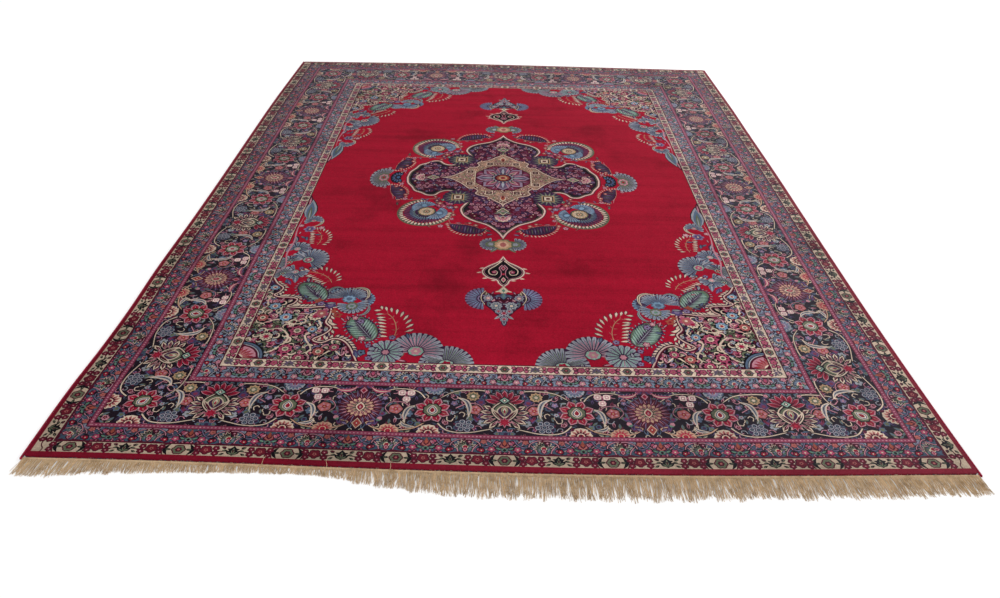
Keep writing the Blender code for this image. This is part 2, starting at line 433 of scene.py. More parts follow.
def rose(size, wool="salmon", edge="navy"):
    """A full round rose with turned petals."""
    petal = leaves(wool, size * 1.02, size * 1.02, 0.62, 4, "rose", size * 0.86, size * 0.34, 0.72, 3)
    return ([(edge, lobed(size * 1.2, 5, 0.12, 4))] + wheel(5, petal, 18)
            + [("crimson", lobed(size * 0.4, 5, 0.3, 3)), ("tan", oval(size * 0.16, points=6))])


def curled_leaf(length, wool="silver", edge="cream", width=None):
    """A long leaf that bends to the right at its tip, outlined."""
    width = width or length * 0.3
    spine = smooth([0, 0.10 * length + 0.38j * length, 0.06 * length + 0.74j * length,
                    -0.20 * length + 0.98j * length], 3)
    return [(edge, swelling(spine, width, 0.5)), (wool, swelling(spine[1:-1], width * 0.56, 0.5)),
            ("navy", swelling(spine[2:-2], width * 0.14, 0.5))]


def saz_leaf(length, wool, vein, tooth, width=None, count=9):
    """A long bent leaf with a toothed edge on both sides."""
    width = width or length * 0.34
    spine = smooth([0, 0.12 * length + 0.35j * length, 0.10 * length + 0.7j * length,
                    -0.12 * length + 1j * length], 4)
    art = [(wool, swelling(spine, width, 0.45))]
    body = swelling(spine, width, 0.45)
    half = len(body) // 2
    art += teeth(body[half:][::-1], width * 0.4, width * 0.2, count, -152, tooth, 0.06, 0.9)
    art += teeth(body[:half], width * 0.4, width * 0.2, count, -28, tooth, 0.06, 0.9)
    return art + [(vein, swelling(spine[1:-1], width * 0.18))]


def comb_leaf(length, wool="cream", count=8):
    """Two bent rows of loose petals that stand on either side of a thin stem."""
    spine = smooth([0, 0.15 * length + 0.30j * length, 0.15 * length + 0.66j * length,
                    -0.02 * length + 0.98j * length], 4)
    body = swelling(spine, length * 0.34, 0.40)
    half = len(body) // 2
    art = [("tan", band(spine[1:-2], 2.8))]
    for number in range(5):
        for turn in (-58, 50):
            art += put([("salmon", leaf(length * 0.1, 4.5, 0.6, 2))], spine[2 + 2 * number],
                       turn + 12 * number)
    for row, lean, petals in ((body[half:][::-1], -142, count), (body[:half], -20, count - 2)):
        art += teeth(row, length * 0.195, length * 0.080, petals, lean, "plum", 0.13, 0.98)
        art += teeth(row, length * 0.180, length * 0.052, petals, lean, wool, 0.13, 0.98)
    return art


def grapes(size):
    """A bunch of ringed berries under a leaf."""
    art = []
    for row, count in enumerate((2, 3, 2)):
        for number in range(count):
            at = (number - (count - 1) / 2) * size * 0.60 + 1j * size * (0.50 * row - 0.58)
            art += [("plum", oval(size * 0.33, points=8) + at),
                    ("silver", oval(size * 0.28, points=8) + at),
                    ("navy", oval(size * 0.19, points=6) + at), ("slate", oval(size * 0.1, points=5) + at)]
    return art + put(leaves("moss", size * 0.9, size * 0.3, "silver", size * 0.7, size * 0.1),
                     0.72j * size, 25)


def squares(size):
    """Three square blossoms in an L."""
    turned = diamond(size, size) * np.exp(0.25j * np.pi)
    one = [("rose", oval(size * 1.05, points=8)), ("white", turned * 1.08), ("rose", turned * 0.72),
           ("white", turned * 0.36)]
    return sum((put(one, at * size) for at in (-1.05 + 1.1j, 1.15 + 1.1j, -0.1 - 1.1j)), [])


def fan(size, outer, inner, core, edge="cream", rays=9, span=200):
    """A fan palmette opening upwards."""
    ray = leaves(edge, size, size * 3.2 / rays, 0.72, 4, outer, size * 0.9, size * 2.3 / rays, inner,
                 size * 0.62, size * 1.6 / rays, 0.7, 3)
    return (wheel(rays, ray, -span / 2, span)
            + [(edge, oval(size * 0.34, size * 0.36, 10)), (core, oval(size * 0.24, size * 0.27, 8)),
               (inner, leaf(size * 0.4, size * 0.2) - 0.12j * size)])


def petal(length, width):
    """A round-ended petal that starts in a point."""
    right = width * np.array([0.15, 0.36, 0.25]) + 1j * length * np.array([0.42, 0.82, 0.985])
    return np.concatenate([[0], right, (-right.conj())[::-1]])


def kite(length, width):
    return np.array([0, width / 2 + 0.76j * length, 1j * length, -width / 2 + 0.76j * length])


def plume(size, fill, line, rim, rays=13, span=200):
    """A feathered half round opening upwards: pale round-ended feathers with thin dark gaps."""
    width = size * math.radians(span) / rays
    reach = np.radians(np.linspace(90 - span / 2 - 3, 90 + span / 2 + 3, rays))
    feather = [(rim, petal(size, width)), (line, kite(size * 0.92, width * 0.36)),
               (fill, kite(size * 0.87, width * 0.21))]
    return [("plum", np.append(size * 0.985 * np.exp(1j * reach),
                               0))] + wheel(rays, feather, -span / 2, span)


WOOLS = {
    "crimson": "#82132a", "red": "#9a1f36", "wine": "#430f20", "navy": "#1c121c", "plum": "#35203a",
    "black": "#110d12", "cream": "#bfaa97", "white": "#d3c3b6", "tan": "#a18062", "peach": "#b38d76",
    "orange": "#8b4436", "salmon": "#965451", "pink": "#96405a", "rose": "#a8727e", "sky": "#7089a0",
    "slate": "#4b596d", "blue": "#38506f", "guard": "#3b4a5b", "mist": "#6f7a8d", "silver": "#878890",
    "field": "#8f0d25", "dusty": "#b09c88", "claret": "#5c1623", "mauve": "#7d6a7d", "dusk": "#55435a",
    "camel": "#8c7060", "braid": "#7c354c", "edge": "#730e23", "rosewood": "#6b2b42", "green": "#557262",
    "moss": "#575c49", "mint": "#809a8c", "lilac": "#71627f", "violet": "#46385c",
}

# ---- the main border's flowers ----------------------------------------------


def lotus():
    """The feathered lotus: cream sepals about a heart of bands, under a red crown."""
    sepal = leaves("black", 68, 24, 0.72, 4, "cream", 64, 18, "wine", 58, 12.5, 0.72, 3, "rose", 46, 3.5,
                   0.7, 2)
    crown = leaves("black", 64, 28, 0.6, 4, "rose", 60, 22, "crimson", 56, 17.5, "wine", 44, 7.5, 0.6, 2)
    heart = smooth([-52j, 30 - 30j, 46 + 4j, 30 + 36j, 52j, -30 + 36j, -46 + 4j, -30 - 30j], 3, True)
    stripe = leaf(62, 10, 0.5, 3)
    art = put(wheel(7, put(crown, 12j), -72, 144), 36j)
    for turn in (58, 79, 100, 121, 142):
        art += both(sepal, -16j + 20 * np.exp(1j * math.radians(90 - turn)), -turn)
    art += [("black", heart * 1.06), ("cream", heart * 0.98), ("navy", heart * 0.88),
            ("moss", heart * 0.78), ("cream", heart * 0.6), ("plum", heart * 0.5)]
    art += both([("cream", stripe * 1.25), ("wine", stripe)], -46j, -36)
    art += [("tan", leaf(50, 26, 0.6, 4) - 22j), ("green", leaf(42, 20, 0.6, 4) - 19j),
            ("cream", leaf(34, 13, 0.6, 3) - 14j), ("crimson", leaf(20, 8) - 10j)]
    art += put(nest(diamond, "navy", 23, 21, "mint", 17, 15, "wine", 8, 10, "white", 4, 6), 56j)
    art += put([("rose", spiky(28, 8, 0.5)), ("crimson", spiky(22, 8, 0.45)), ("red", oval(7, points=6))],
               -52j)
    return art


def sunburst():
    """The round palmette of fine rays on a square foot."""
    long_ray = leaves("plum", 90, 13.5, 0.8, 3, "lilac", 87, 10.5, "wine", 80, 6, 0.8, 2)
    inner_ray = leaves("wine", 74, 13.5, 0.8, 3, "rose", 70, 10, "crimson", 58, 4, 0.7, 2)
    art = put([("wine", oval(74, 78, 16))], 4j)
    art += put(wheel(24, long_ray), 4j) + put(wheel(22, inner_ray, 6), 4j)
    art += [("wine", lobed(52, 16, 0.14, 2) + 4j), ("peach", lobed(48, 16, 0.2, 2) + 4j)]
    art += put(wheel(16, leaves("rosewood", 46, 10, 0.75, 3, "cream", 42, 4, 0.8, 2)), 4j)
    art += put(wheel(10, leaves("moss", 33, 12, 0.7, 2, "navy", 28, 5)), 6j)
    art += [("wine", leaf(54, 38, 0.5, 4) - 21j), ("cream", leaf(48, 32, 0.5, 4) - 18j),
            ("crimson", leaf(34, 22, 0.5, 4) - 12j), ("rose", leaf(16, 8, 0.5, 3) - 4j)]
    art += put(nest(diamond, "wine", 22, 30, "cream", 18, 26, "orange", 15, 22, "crimson", 8, 12, "cream",
                    3, 5), -76j)
    art += put(nest(diamond, "wine", 17, 21, "rose", 13, 17, "crimson", 8, 11), 88j)
    return art + both(leaves("plum", 30, 14, "lilac", 24, 8), 30 - 84j, -60)


def star_flower():
    """The round red flower of eight split petals."""
    petal = leaves("black", 67, 40, 0.68, 4, "rose", 64, 34, "crimson", 59, 26, "cream", 55, 7, 0.78, 2,
                   "wine", 42, 12, 0.7)
    between = [("cream", leaf(52, 8, 0.8, 2))]
    art = wheel(8, petal, 22.5) + wheel(8, between)
    art += [("black", lobed(35, 8, 0.12, 3)), ("moss", lobed(30, 8, 0.12, 3)),
            ("cream", leaf(50, 38, 0.42, 5) - 24j), ("slate", leaf(43, 31, 0.42, 5) - 21j),
            ("white", leaf(34, 22, 0.42, 4) - 17j), ("crimson", leaf(26, 16, 0.45, 4) - 13j)]
    return art


def half_palmette(size, outer="salmon", inner="rose", edge="cream"):
    return fan(size, outer, inner, "crimson", edge, 7, 170)


def scroll(points, wool="cream", width=5.2, steps=4):
    """A vine with a dark outline that thins towards its end."""
    line = smooth(points, steps)
    taper = np.linspace(1.0, 0.6, len(line)) * width
    return [("black", band(line, taper + 4.2)), (wool, band(line, taper))]


BORDER_STEP = 245


def ground_cover(long, high, pitch, seed, bits):
    """Small leaves and blossoms close together over half a repeat, to lie under the large flowers."""
    rand = random.Random(seed)
    art = []
    for number, y in enumerate(np.arange(-high, high, pitch * 0.87)):
        for x in np.arange((number % 2) * pitch / 2, long, pitch):
            spot = complex(x + rand.uniform(-0.25, 0.25) * pitch, y + rand.uniform(-0.25, 0.25) * pitch)
            art += put(rand.choice(bits), spot, rand.uniform(0, 360), rand.uniform(0.8, 1.2))
    return art


def sprigs():
    """The small bits between the border's large flowers: dim outlines about dark middles."""
    curl = smooth([-12 - 4j, -4 + 9j, 9 + 6j, 8 - 5j], 2)
    return [leaves("rosewood", 31, 11.5, "wine", 24, 5.5), leaves("moss", 28, 11.5, "slate", 22, 5),
            [("rose", lobed(12.5, 5, 0.3, 2)), ("wine", lobed(8.5, 5, 0.35, 2)),
             ("salmon", oval(3, points=4))], leaves("slate", 31, 12.5, "navy", 25, 7),
            [("cream", band(curl, 3))], nest(lobed, "guard", 14.5, 6, 0.2, 2, "plum", 9, 6, 0.3),
            [("rose", band(curl, 3))], nest(lobed, "slate", 12.5, 5, 0.3, 2, "moss", 8, 5, 0.35),
            leaves("rose", 27, 9.5, "wine", 21, 5.2), leaves("violet", 29, 11, "navy", 22, 5.5),
            [("silver", band(curl, 2.8))], nest(lobed, "violet", 14, 6, 0.2, 2, "rosewood", 8, 6, 0.3)]


def border_half():
    """Everything between a lotus at 0 and a sunburst two steps on, without those two flowers."""
    step = BORDER_STEP
    art = ground_cover(2 * step, 108, 24.5, 3, sprigs())
    # The vines.
    art += scroll([26 + 58j, 62 + 100j, 120 + 104j, 180 + 92j, step - 12 + 50j], "cream")
    art += scroll([step + 20 + 45j, step + 60 + 93j, step + 140 + 100j, 2 * step - 50 + 62j], "cream", 4.6)
    art += scroll([step - 12 - 52j, step - 55 - 98j, step - 120 - 106j, 60 - 90j, 12 - 74j], "cream")
    art += scroll([step + 12 - 52j, step + 55 - 90j, step + 120 - 104j, 2 * step - 65 - 98j,
                   2 * step - 30 - 72j, 2 * step - 55 - 62j], "peach")
    art += scroll([166 + 12j, 128 + 36j, 92 + 34j, 72 + 8j, 90 - 20j], "rose", 4)
    art += scroll([step + 75 + 10j, step + 102 + 34j, step + 142 + 34j, step + 160 + 4j, step + 142 - 24j],
                  "rose", 4)
    # Near the lotus.
    art += put(leaves("black", 75, 20, "slate", 68, 13), 8 - 86j, -68)
    art += put(floret(17, "silver", "moss"), 75 - 58j)
    art += put(grapes(36), 132 - 70j, 6)
    art += put(rose(23), 101 + 6j)
    art += put(rosette(26, 9, ("navy", "tan", "moss", "moss", "cream")), 109 + 74j)
    art += put(curled_leaf(105, "silver", "cream", 18), 122 - 30j, -12, 1, True)
    art += put(floret(13, "lilac", "rose"), 172 + 36j)
    art += put(floret(9, "rose", "red"), 60 + 98j)
    # Over and under the star flower.
    art += put(half_palmette(36, "slate", "lilac", "silver"), step + 112j, 180)
    art += put(half_palmette(40, "salmon", "wine", "cream"), step + 6 - 112j)
    art += put(floret(10, "silver", "crimson"), step - 70 - 12j)
    # Between the star flower and the sunburst.
    art += put(squares(14.5), step + 94 + 66j)
    art += put(floret(18, "slate", "silver", "navy", 6), step + 80 - 22j)
    art += put(rose(24), step + 124)
    art += put(curled_leaf(92, "silver", "cream", 16), step + 88 - 64j, 10)
    art += put(half_palmette(36, "salmon", "red", "peach"), step + 138 - 108j, 8)
    art += put(saz_leaf(75, "pink", "cream", "rose", 16, 6), step + 150 + 90j, -82)
    art += put(floret(10, "lilac", "rose"), step + 166 + 52j)
    art += put(curled_leaf(55, "silver", "cream", 14), step + 52 - 84j, -74)
    art += put(bud(13, "rose", "green"), step + 178 - 60j, 30)
    art += put(star_flower(), step)
    return art


def twice_area(line):
    """Positive where an outline's points run anticlockwise."""
    return np.sum(line.real * np.roll(line.imag, -1) - np.roll(line.real, -1) * line.imag)


def inset(line, depth):
    """A closed outline drawn in by a distance; points run anticlockwise."""
    along = np.roll(line, -1) - np.roll(line, 1)
    return line + 1j * along / np.maximum(np.abs(along), 1e-9) * depth


def inside(line, points):
    """Which points lie in a closed outline."""
    points = np.asarray(points)
    odd = np.zeros(len(points), bool)
    for start, stop in zip(line, np.roll(line, -1)):
        if start.imag != stop.imag:
            share = (points.imag - start.imag) / (stop.imag - start.imag)
            spans = (start.imag > points.imag) != (stop.imag > points.imag)
            odd ^= spans & (points.real < start.real + share * (stop.real - start.real))
    return odd


def nearest(line, points):
    return np.min(np.abs(np.asarray(points)[:, None] - line[None, :]), axis=1)


def scatter(region, pitch, flowers, seed, margin=0.0, keep_out=(), one_side=True):
    """Small flowers on a loose grid in a region, turned and chosen at random."""
    rand = random.Random(seed)
    low_x = 0.0 if one_side else region.real.min()
    rows = np.arange(region.imag.min(), region.imag.max(), pitch * 0.87)
    spots = []
    for number, y in enumerate(rows):
        for x in np.arange(low_x + (number % 2) * pitch / 2, region.real.max(), pitch):
            spots.append(complex(x + rand.uniform(-0.2, 0.2) * pitch, y + rand.uniform(-0.2, 0.2) * pitch))
    spots = np.array(spots)
    good = inside(region, spots) & (nearest(region, spots) > margin)
    for hole in keep_out:
        good &= ~inside(hole, spots)
    art = []
    for spot in spots[good]:
        art += put(rand.choice(flowers), spot, rand.uniform(0, 360), rand.uniform(0.8, 1.2))
    return art


def strewn(sprigs, seed, spots):
    """Sprigs on given spots, each chosen, turned and sized at random."""
    rand = random.Random(seed)
    art = []
    for x, y in spots:
        art += put(rand.choice(sprigs), complex(x, y), rand.uniform(0, 360), rand.uniform(0.85, 1.15))
    return art


def mirrored(quarter):
    """A closed outline from its quarter, which runs from the top to the right."""
    right = np.concatenate([quarter, quarter[:-1].conj()[::-1]])
    whole = np.concatenate([right, (-right[1:-1].conj())[::-1]])
    return whole[::-1]


def edged(line, steps):
    """An outline filled again and again, each time further in: (wool, depth) pairs."""
    return [(wool, inset(line, depth)) for wool, depth in steps]


# ---- the medallion -----------------------------------------------------------

BODY = smooth([600j, 22 + 555j, 55 + 515j, 88 + 488j, 150 + 458j, 196 + 415j, 213 + 361j, 200 + 318j,
               186 + 285j, 183 + 235j, 196 + 196j, 235 + 183j, 285 + 162j, 322 + 176j, 350 + 213j,
               392 + 213j, 424 + 186j, 462 + 160j, 480 + 118j, 506 + 70j, 513 + 30j, 516], 3)
GOLD = smooth([335j, 12 + 300j, 45 + 268j, 85 + 225j, 128 + 208j, 146 + 184j, 134 + 160j, 150 + 134j,
               178 + 134j, 196 + 112j, 216 + 82j, 248 + 46j, 285 + 14j, 335], 2)


def small_flowers():
    """The small figures that are strewn over the medallion."""
    def ringed(radius, wool):
        return [*nest(lobed, "wine", radius * 1.2, 5, 0.2, 2, wool, radius, 5, 0.3, "plum", radius * 0.6,
                      5, 0.35), (wool, oval(radius * 0.22, points=4))]
    sprig = leaves("silver", 28, 10, "plum", 22, 5)
    twig = leaves("plum", 34, 18, "rose", 22, 5)
    dot = [("cream", oval(4.5, points=6)), ("red", oval(2, points=4))]
    return [ringed(14.5, "rosewood"), ringed(13.5, "rose"), ringed(12.5, "lilac"), sprig, twig,
            ringed(13.5, "rosewood"), ringed(12.5, "rose"), dot]


def centre_flower():
    """The rayed flower in the middle of the rug."""
    art = nest(lobed, "wine", 156, 8, 0.07, 4, "rosewood", 150, 8, 0.08)
    art += wheel(8, leaves("mauve", 148, 20, 0.8, 3, "plum", 138, 8, 0.8, 2), 22.5)
    art += wheel(16, leaves("plum", 146, 26, 0.7, 3, "rose", 136, 10, 0.75, 2), 11.25)
    art += wheel(4, leaves("wine", 152, 86, 0.72, 4, "mauve", 146, 74, "rosewood", 130, 52, "rose", 118,
                           32, 0.72, 3, "moss", 104, 16), 45)
    art += wheel(4, leaves("wine", 152, 94, 0.62, 5, "mauve", 144, 82, "dusk", 132, 60, "silver", 122, 16,
                           0.7, 3) + both([("rose", leaf(124, 8, 0.7, 3))], 4 + 12j, -14))
    art += nest(lobed, "plum", 64, 12, 0.1, 2, "slate", 56)
    art += wheel(16, put([("cream", leaf(14, 8, 0.6, 2))], 46j))
    art += [("wine", oval(46, points=14)), ("orange", lobed(38, 10, 0.2, 2)), ("tan", oval(24)),
            ("crimson", oval(14, points=8))]
    return art


def cartouche():
    """The tan panel in the medallion, with the centre flower."""
    line = mirrored(GOLD)
    art = edged(line, [("black", -5), ("rose", 0), ("cream", 2), ("wine", 8), ("camel", 11)])
    fleck = leaves("peach", 30, 12, "wine", 22, 4)
    spark = nest(diamond, "wine", 9, 13, "cream", 5, 8)
    green = leaves("moss", 26, 11, "cream", 14, 3)
    hint = leaves("rosewood", 26, 11, "cream", 18, 4)
    region = inset(line, 14)
    art += both(scatter(region, 19, [fleck, spark, green, hint, fleck], 4, 3))
    square = nest(diamond, "cream", 27, 27, "wine", 22, 22, "moss", 12, 12, "rose", 5, 5)
    for x, y in ((72, 178), (176, 74), (72, -178), (176, -74)):
        art += both(square, complex(x, y), 45)
    for turn in (0, 180):
        art += put(leaves("cream", 70, 34, "orange", 58, 24, "wine", 40, 8), 205j if turn == 0 else -205j,
                   turn)
    art += centre_flower()
    frame = [("cream", band(np.array([150 - 86j, 150 + 86j]), 5))]
    return art + both(frame)


def outer_flower():
    """The round feathered flower at a corner of the medallion, its open side down."""
    art = []
    for number in range(31):
        turn = -128 + 256 * number / 30
        share = 1.0 - 0.25 * abs(turn) / 128
        at = 4j + 104j * np.exp(-1j * math.radians(turn))
        art += put(leaves("moss", 42 * share, 23, 0.6, 3, "plum", 39 * share, 17, 0.55, "cream",
                          36 * share, 12), at, -turn)
    art += put(plume(110, "lilac", "plum", "rosewood", 27, 252), 4j)
    art += put(plume(82, "mint", "plum", "slate", 19, 190), 4j)
    art += both(put(plume(64, "silver", "slate", "sky", 15, 180), 40 - 20j, -104)
                + put(nest(oval, "slate", 18, 22, 8, "sky", 12, 15), 56 - 34j, -104))
    art += [("plum", oval(48, points=16)), ("moss", lobed(45, 14, 0.1, 2)),
            ("tan", lobed(40, 12, 0.12, 2))]
    art += wheel(12, leaves("cream", 37, 10, 0.7, 3, "moss", 30, 3, 0.7, 2))
    art += [("moss", oval(16, points=10)), ("peach", oval(11, points=8)), ("wine", oval(5, points=6))]
    art += put([*nest(lobed, "wine", 34, 6, 0.2, 3, "pink", 26, 6, 0.3, "rose", 15, 6, 0.3, 2),
                ("crimson", oval(6, points=6))], -92j)
    art += both(leaves("green", 40, 14, "cream", 30, 3), 14 - 120j, -50)
    art += both(leaves("wine", 46, 18, "rose", 38, 8), 20 - 72j, -168)
    return art


def feather_leaf():
    """The violet comma leaf with a beaded comb on both sides; it runs to the right."""
    spine = smooth([-86 + 22j, -50 + 34j, 14j, 48 - 20j, 80 - 58j], 4)
    body = swelling(spine, 80, 0.54)
    half = len(body) // 2
    art = teeth(body[half:][::-1], 24, 10.5, 20, -78, "salmon", 0.02, 0.98)
    art += teeth(body[half:][::-1], 21, 6, 20, -78, "cream", 0.02, 0.98)
    art += teeth(body[:half], 22, 10, 17, -24, "salmon", 0.03, 0.97)
    art += teeth(body[:half], 19, 5.5, 17, -24, "cream", 0.03, 0.97)
    art += [("wine", body), ("plum", swelling(spine, 68, 0.54))]
    for number in range(19):
        share = (number + 1) / 20
        at = spine[int(share * (len(spine) - 1))]
        wool = ("rosewood", "moss", "lilac")[number % 3]
        reach = 30 * math.sin(math.pi * share**1.2)
        art += put([(wool, leaf(reach * 2, 4.5, 0.5, 2) - 1j * reach)], at, -16)
    return art


def vine(points, wool):
    """A plain vine that starts and ends in a point."""
    return [(wool, swelling(smooth(points, 4), 6.4))]


def around_medallion():
    """What stands about the medallion in the quarter at its far right."""
    piece = vine([250 + 250j, 300 + 262j, 355 + 250j, 440 + 262j, 520 + 250j, 560 + 200j], "salmon")
    piece += vine([250 + 260j, 262 + 315j, 245 + 400j, 262 + 470j, 240 + 545j], "salmon")
    piece += vine([75 + 535j, 110 + 565j, 180 + 590j, 250 + 560j], "rose")
    piece += vine([525 + 45j, 545 + 100j, 570 + 170j, 560 + 250j], "rose")
    piece += put(outer_flower(), 378 + 386j, -45)
    piece += put(feather_leaf(), 170 + 548j, 12)
    piece += put(feather_leaf(), 552 + 176j, 78, 0.94, True)
    piece += put([("wine", lobed(30, 5, 0.2, 3)), ("pink", lobed(24, 5, 0.3, 3)),
                  ("cream", oval(6, points=6))], 268 + 300j)
    twigs = [leaves("wine", 32, 13, "rose", 26, 6), leaves("plum", 34, 15, "moss", 27, 8),
             floret(12.5, "salmon", "cream", "wine"), leaves("wine", 30, 12, "salmon", 24, 5),
             leaves("plum", 32, 14, "lilac", 26, 8), floret(12.5, "rose", "crimson", "wine")]
    piece += strewn(twigs, 17, ((252, 380), (244, 420), (250, 460), (230, 500), (190, 500), (268, 510),
                                (300, 530), (120, 600), (85, 560), (50, 600), (235, 340), (255, 300),
                                (380, 250), (420, 245), (460, 235), (500, 205), (500, 250), (530, 150),
                                (545, 285), (530, 320), (560, 110), (535, 80), (320, 235), (345, 230),
                                (285, 235), (160, 500), (130, 520), (345, 545), (550, 60), (620, 120)))
    for spot, wool in ((300 + 262j, "green"), (318 + 300j, "salmon"), (296 + 332j, "pink"),
                       (262 + 262j, "rose"), (335 + 270j, "rosewood"), (262 + 345j, "lilac")):
        piece += put(floret(16.5, wool, "cream", "wine"), spot)
    return piece


def medallion():
    """The medallion, with all that stands on it and about it."""
    quarter = around_medallion()
    mirror = put(quarter, flip=True)
    art = []
    for piece in (quarter, mirror):
        art += piece + put(piece, turn=180, flip=True)
    for side in (-90, 90):
        way = 1 if side < 0 else -1
        palmette = plume(72, "moss", "plum", "silver", 15, 250)
        palmette += [("moss", oval(32, 30)), ("rose", lobed(26, 7, 0.2, 3)),
                     ("moss", lobed(17, 6, 0.25, 2)), ("crimson", oval(8, points=6))]
        palmette = [(wool, line.real * 1.62 + 1j * line.imag * 1.02) for wool, line in palmette]
        art += put(palmette, 640 * way, side)
        petal = leaves("navy", 50, 26, 0.7, 4, "blue", 44, 18, 0.7, 3, "lilac", 34, 6, 0.7, 2)
        knot = wheel(9, petal, -120, 240) + [("navy", oval(20)), ("blue", lobed(13, 5, 0.3, 2))]
        art += put([(wool, line.real * 1.45 + 1j * line.imag * 0.85) for wool, line in knot], 562 * way,
                   side)
    line = mirrored(BODY)
    line = line.real + 1j * np.where(line.imag < -360, -360 + (line.imag + 360) * 1.18, line.imag)
    art += edged(line, [("wine", -5), ("rose", -1), ("cream", 2), ("rose", 7.5), ("black", 10),
                        ("moss", 13), ("black", 16), ("navy", 19)])
    art += both(scatter(inset(line, 22), 34, [[("plum", lobed(22, 5, 0.25, 2))],
                                              [("wine", lobed(20, 5, 0.3, 2))]], 5, 12,
                        [mirrored(GOLD) * 0.97]))
    art += both(scatter(inset(line, 22), 27.5, small_flowers(), 11, 8, [mirrored(GOLD) * 0.97]))
    for y in (372, -378):
        turn = 0 if y > 0 else 180
        art += put([*nest(diamond, "black", 36, 46, "cream", 31, 40, "moss", 25, 33),
                    ("rose", lobed(11, 4, 0.3, 2))], 1j * y)
        art += put(fan(40, "rose", "pink", "wine", "cream", 7, 190), 1j * (y + math.copysign(64, y)), turn)
        art += both(leaves("moss", 50, 16, "silver", 40, 4), 1j * y, -60 if y > 0 else -120)
    for x in (375, -375):
        turn = -90 if x > 0 else 90
        art += put([*nest(diamond, "black", 40, 32, "cream", 35, 27, "moss", 28, 21),
                    ("rose", lobed(10, 4, 0.3, 2))], x)
        art += put(fan(40, "rose", "pink", "wine", "cream", 7, 190), x + math.copysign(58, x), turn)
    art += cartouche()
    square = nest(lobed, "plum", 80, 16, 0.06, 2, "moss", 76, 16, 0.08)
    square += wheel(16, [("plum", leaf(73, 5, 0.8, 2))])
    square += wheel(16, [("silver", leaf(68, 5.5, 0.8, 2))], 11.25)
    for wool, size in (("tan", 46), ("black", 37), ("cream", 28), ("wine", 14)):
        square.append((wool, diamond(size, size) * np.exp(0.25j * np.pi)))
    for x in (-231, 231):
        for y in (-231, 231):
            art += put(square, complex(x, y))
    return art


# ---- the pendants, drawn upwards from the medallion's middle ----------------------


def pendant():
    art = both(plume(54, "slate", "plum", "silver", 11, 220)
               + [("moss", oval(24, 28)), ("silver", lobed(16, 6, 0.3, 2))], 56 + 688j, -66)
    art += both(leaves("moss", 60, 18, "silver", 48, 5), 20 + 712j, -40)
    art += put([*nest(lobed, "moss", 50, 8, 0.12, 3, "tan", 42, 8, 0.15, "peach", 30, 8, 0.2, 2),
                ("salmon", oval(15, 20, 8))], 692j)
    drop = smooth([790j, 20 + 832j, 58 + 862j, 88 + 893j, 90 + 928j, 66 + 960j, 34 + 972j, 24 + 986j,
                   20 + 1000j, 1024j], 3)
    whole = np.concatenate([drop, (-drop[1:-1].conj())[::-1]])
    if twice_area(whole) < 0:
        whole = whole[::-1]
    for share in (0.30, 0.42, 0.55, 0.68):
        at = drop[int(share * len(drop))]
        art += both(leaves("cream", 26, 10, 0.4, 3, "rose", 18, 4, 0.4, 2), at, -60 - 40 * share)
    art += edged(whole, [("rose", -3), ("cream", 0), ("black", 4.5), ("rose", 8.5), ("black", 11)])
    art += both(scroll([6 + 828j, 34 + 866j, 62 + 898j, 58 + 930j, 34 + 936j, 26 + 914j, 38 + 902j],
                       "cream", 5.8))
    art += both(scroll([4 + 860j, 18 + 884j, 10 + 908j, 10 + 940j, 20 + 962j], "rose", 4.5))
    art += both(floret(11, "pink", "cream", "wine"), 40 + 915j)
    art += put(nest(diamond, "rose", 12, 20, "crimson", 6, 11), 885j)
    art += put(nest(diamond, "cream", 11, 20, "pink", 7, 14), 972j)
    art += put([("red", floret(8, "pink", "cream")[1][1])], 930j)
    art += put(nest(diamond, "moss", 24, 34, "cream", 20, 30, "green", 8, 14), 1050j)
    art += both([("cream", leaf(30, 9))], 1050j + 8, -70)
    return art + put(pendant_end(), 1052j, size=0.84)


